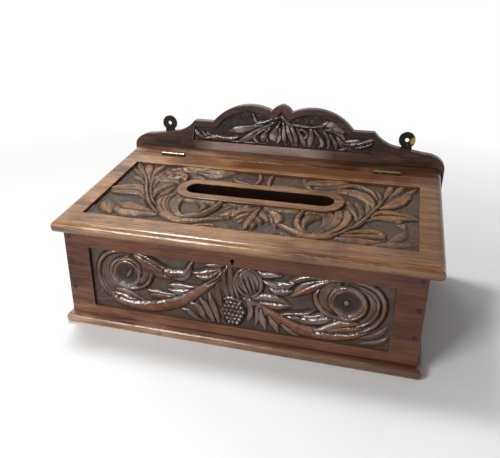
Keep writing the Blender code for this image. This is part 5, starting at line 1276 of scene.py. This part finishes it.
def light_world():
    """A studio dome: white at the horizon, dim above, and a pale wall behind, brightest on the left."""
    world = bpy.data.worlds.new("studio")
    bpy.context.scene.world = world
    g = Graph(world)
    way = g.add("SeparateXYZ", {0: g.add("TexCoord", {}).outputs["Generated"]}).outputs
    wall = g.times(g.spread(way[Y], *WALL_RISE), g.spread(way[X], *WALL_LEFT))
    background = g.tree.nodes["Background"].inputs
    g.put(background["Color"], WHITE)
    g.put(background["Strength"], g.math("MAXIMUM", g.spread(way[Z], *DOME_FADE), wall))


# The floor's half width, and how far from the middle it begins and ends to fade to white
FLOOR_HALF = 8.0
FLOOR_FADE = (0.24, 0.9)
FLOOR_TONES = tones((236, 235, 234), (242, 241, 240))


def floor_material():
    """Pale, with the object's shadow, and fading to white away from it."""
    g = Material("pale_floor")
    mottle = g.noise(g.place(), scale=6.0, detail=4.0)
    colour = g.ramp(mottle, tuple(zip(NOISE_RANGE, FLOOR_TONES)))
    gone = g.add("VectorMath", {0: g.place()}, operation="LENGTH").outputs["Value"]
    rays = g.add("LightPath", {})
    seen = g.math("MAXIMUM", rays.outputs["Is Camera Ray"], rays.outputs["Is Glossy Ray"])
    seen = g.math("MAXIMUM", seen, rays.outputs["Is Transmission Ray"])
    far = g.times(seen, g.spread(gone, *FLOOR_FADE))
    white = g.add("Emission", {"Color": WHITE, "Strength": 1.0}).outputs[0]
    material = g.finish(Base_Color=colour, Roughness=0.8)
    blend = g.add("MixShader", {0: far, 1: g.shader.outputs[0], 2: white}).outputs[0]
    g.put(g.tree.nodes["Material Output"].inputs["Surface"], blend)
    return material


def lay_floor():
    mesh = bpy.data.meshes.new("floor")
    corners = [(x * FLOOR_HALF, y * FLOOR_HALF, 0) for x, y in ((-1, -1), (1, -1), (1, 1), (-1, 1))]
    mesh.from_pydata(corners, [], [(0, 1, 2, 3)])
    mesh.materials.append(floor_material())
    floor = bpy.data.objects.new("floor", mesh)
    bpy.context.scene.collection.objects.link(floor)
    floor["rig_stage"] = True


def set_camera():
    data = bpy.data.cameras.new("photo_camera")
    data.lens = CAMERA_LENS
    data.sensor_width = CAMERA_SENSOR
    camera = bpy.data.objects.new("photo_camera", data)
    right = CAMERA_FORWARD.cross(CAMERA_UP)
    turn = Matrix((right, CAMERA_UP, -CAMERA_FORWARD)).transposed()
    camera.matrix_world = Matrix.Translation(CAMERA_PLACE) @ turn.to_4x4()
    bpy.context.scene.collection.objects.link(camera)
    bpy.context.scene.camera = camera


def write_size(cad_box):
    boxes = {"cad": cad_box, "visual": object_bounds()}
    {name: [list(corner) for corner in box] for name, box in boxes.items()}


dress({**oak_finishes(), **metal_finishes()})
lay_carvings()
lay_floor()
for lamp in LAMPS:
    light_area(*lamp)
light_world()
set_camera()
bpy.context.scene.view_settings.view_transform = "Standard"
write_size(CAD_BOX)
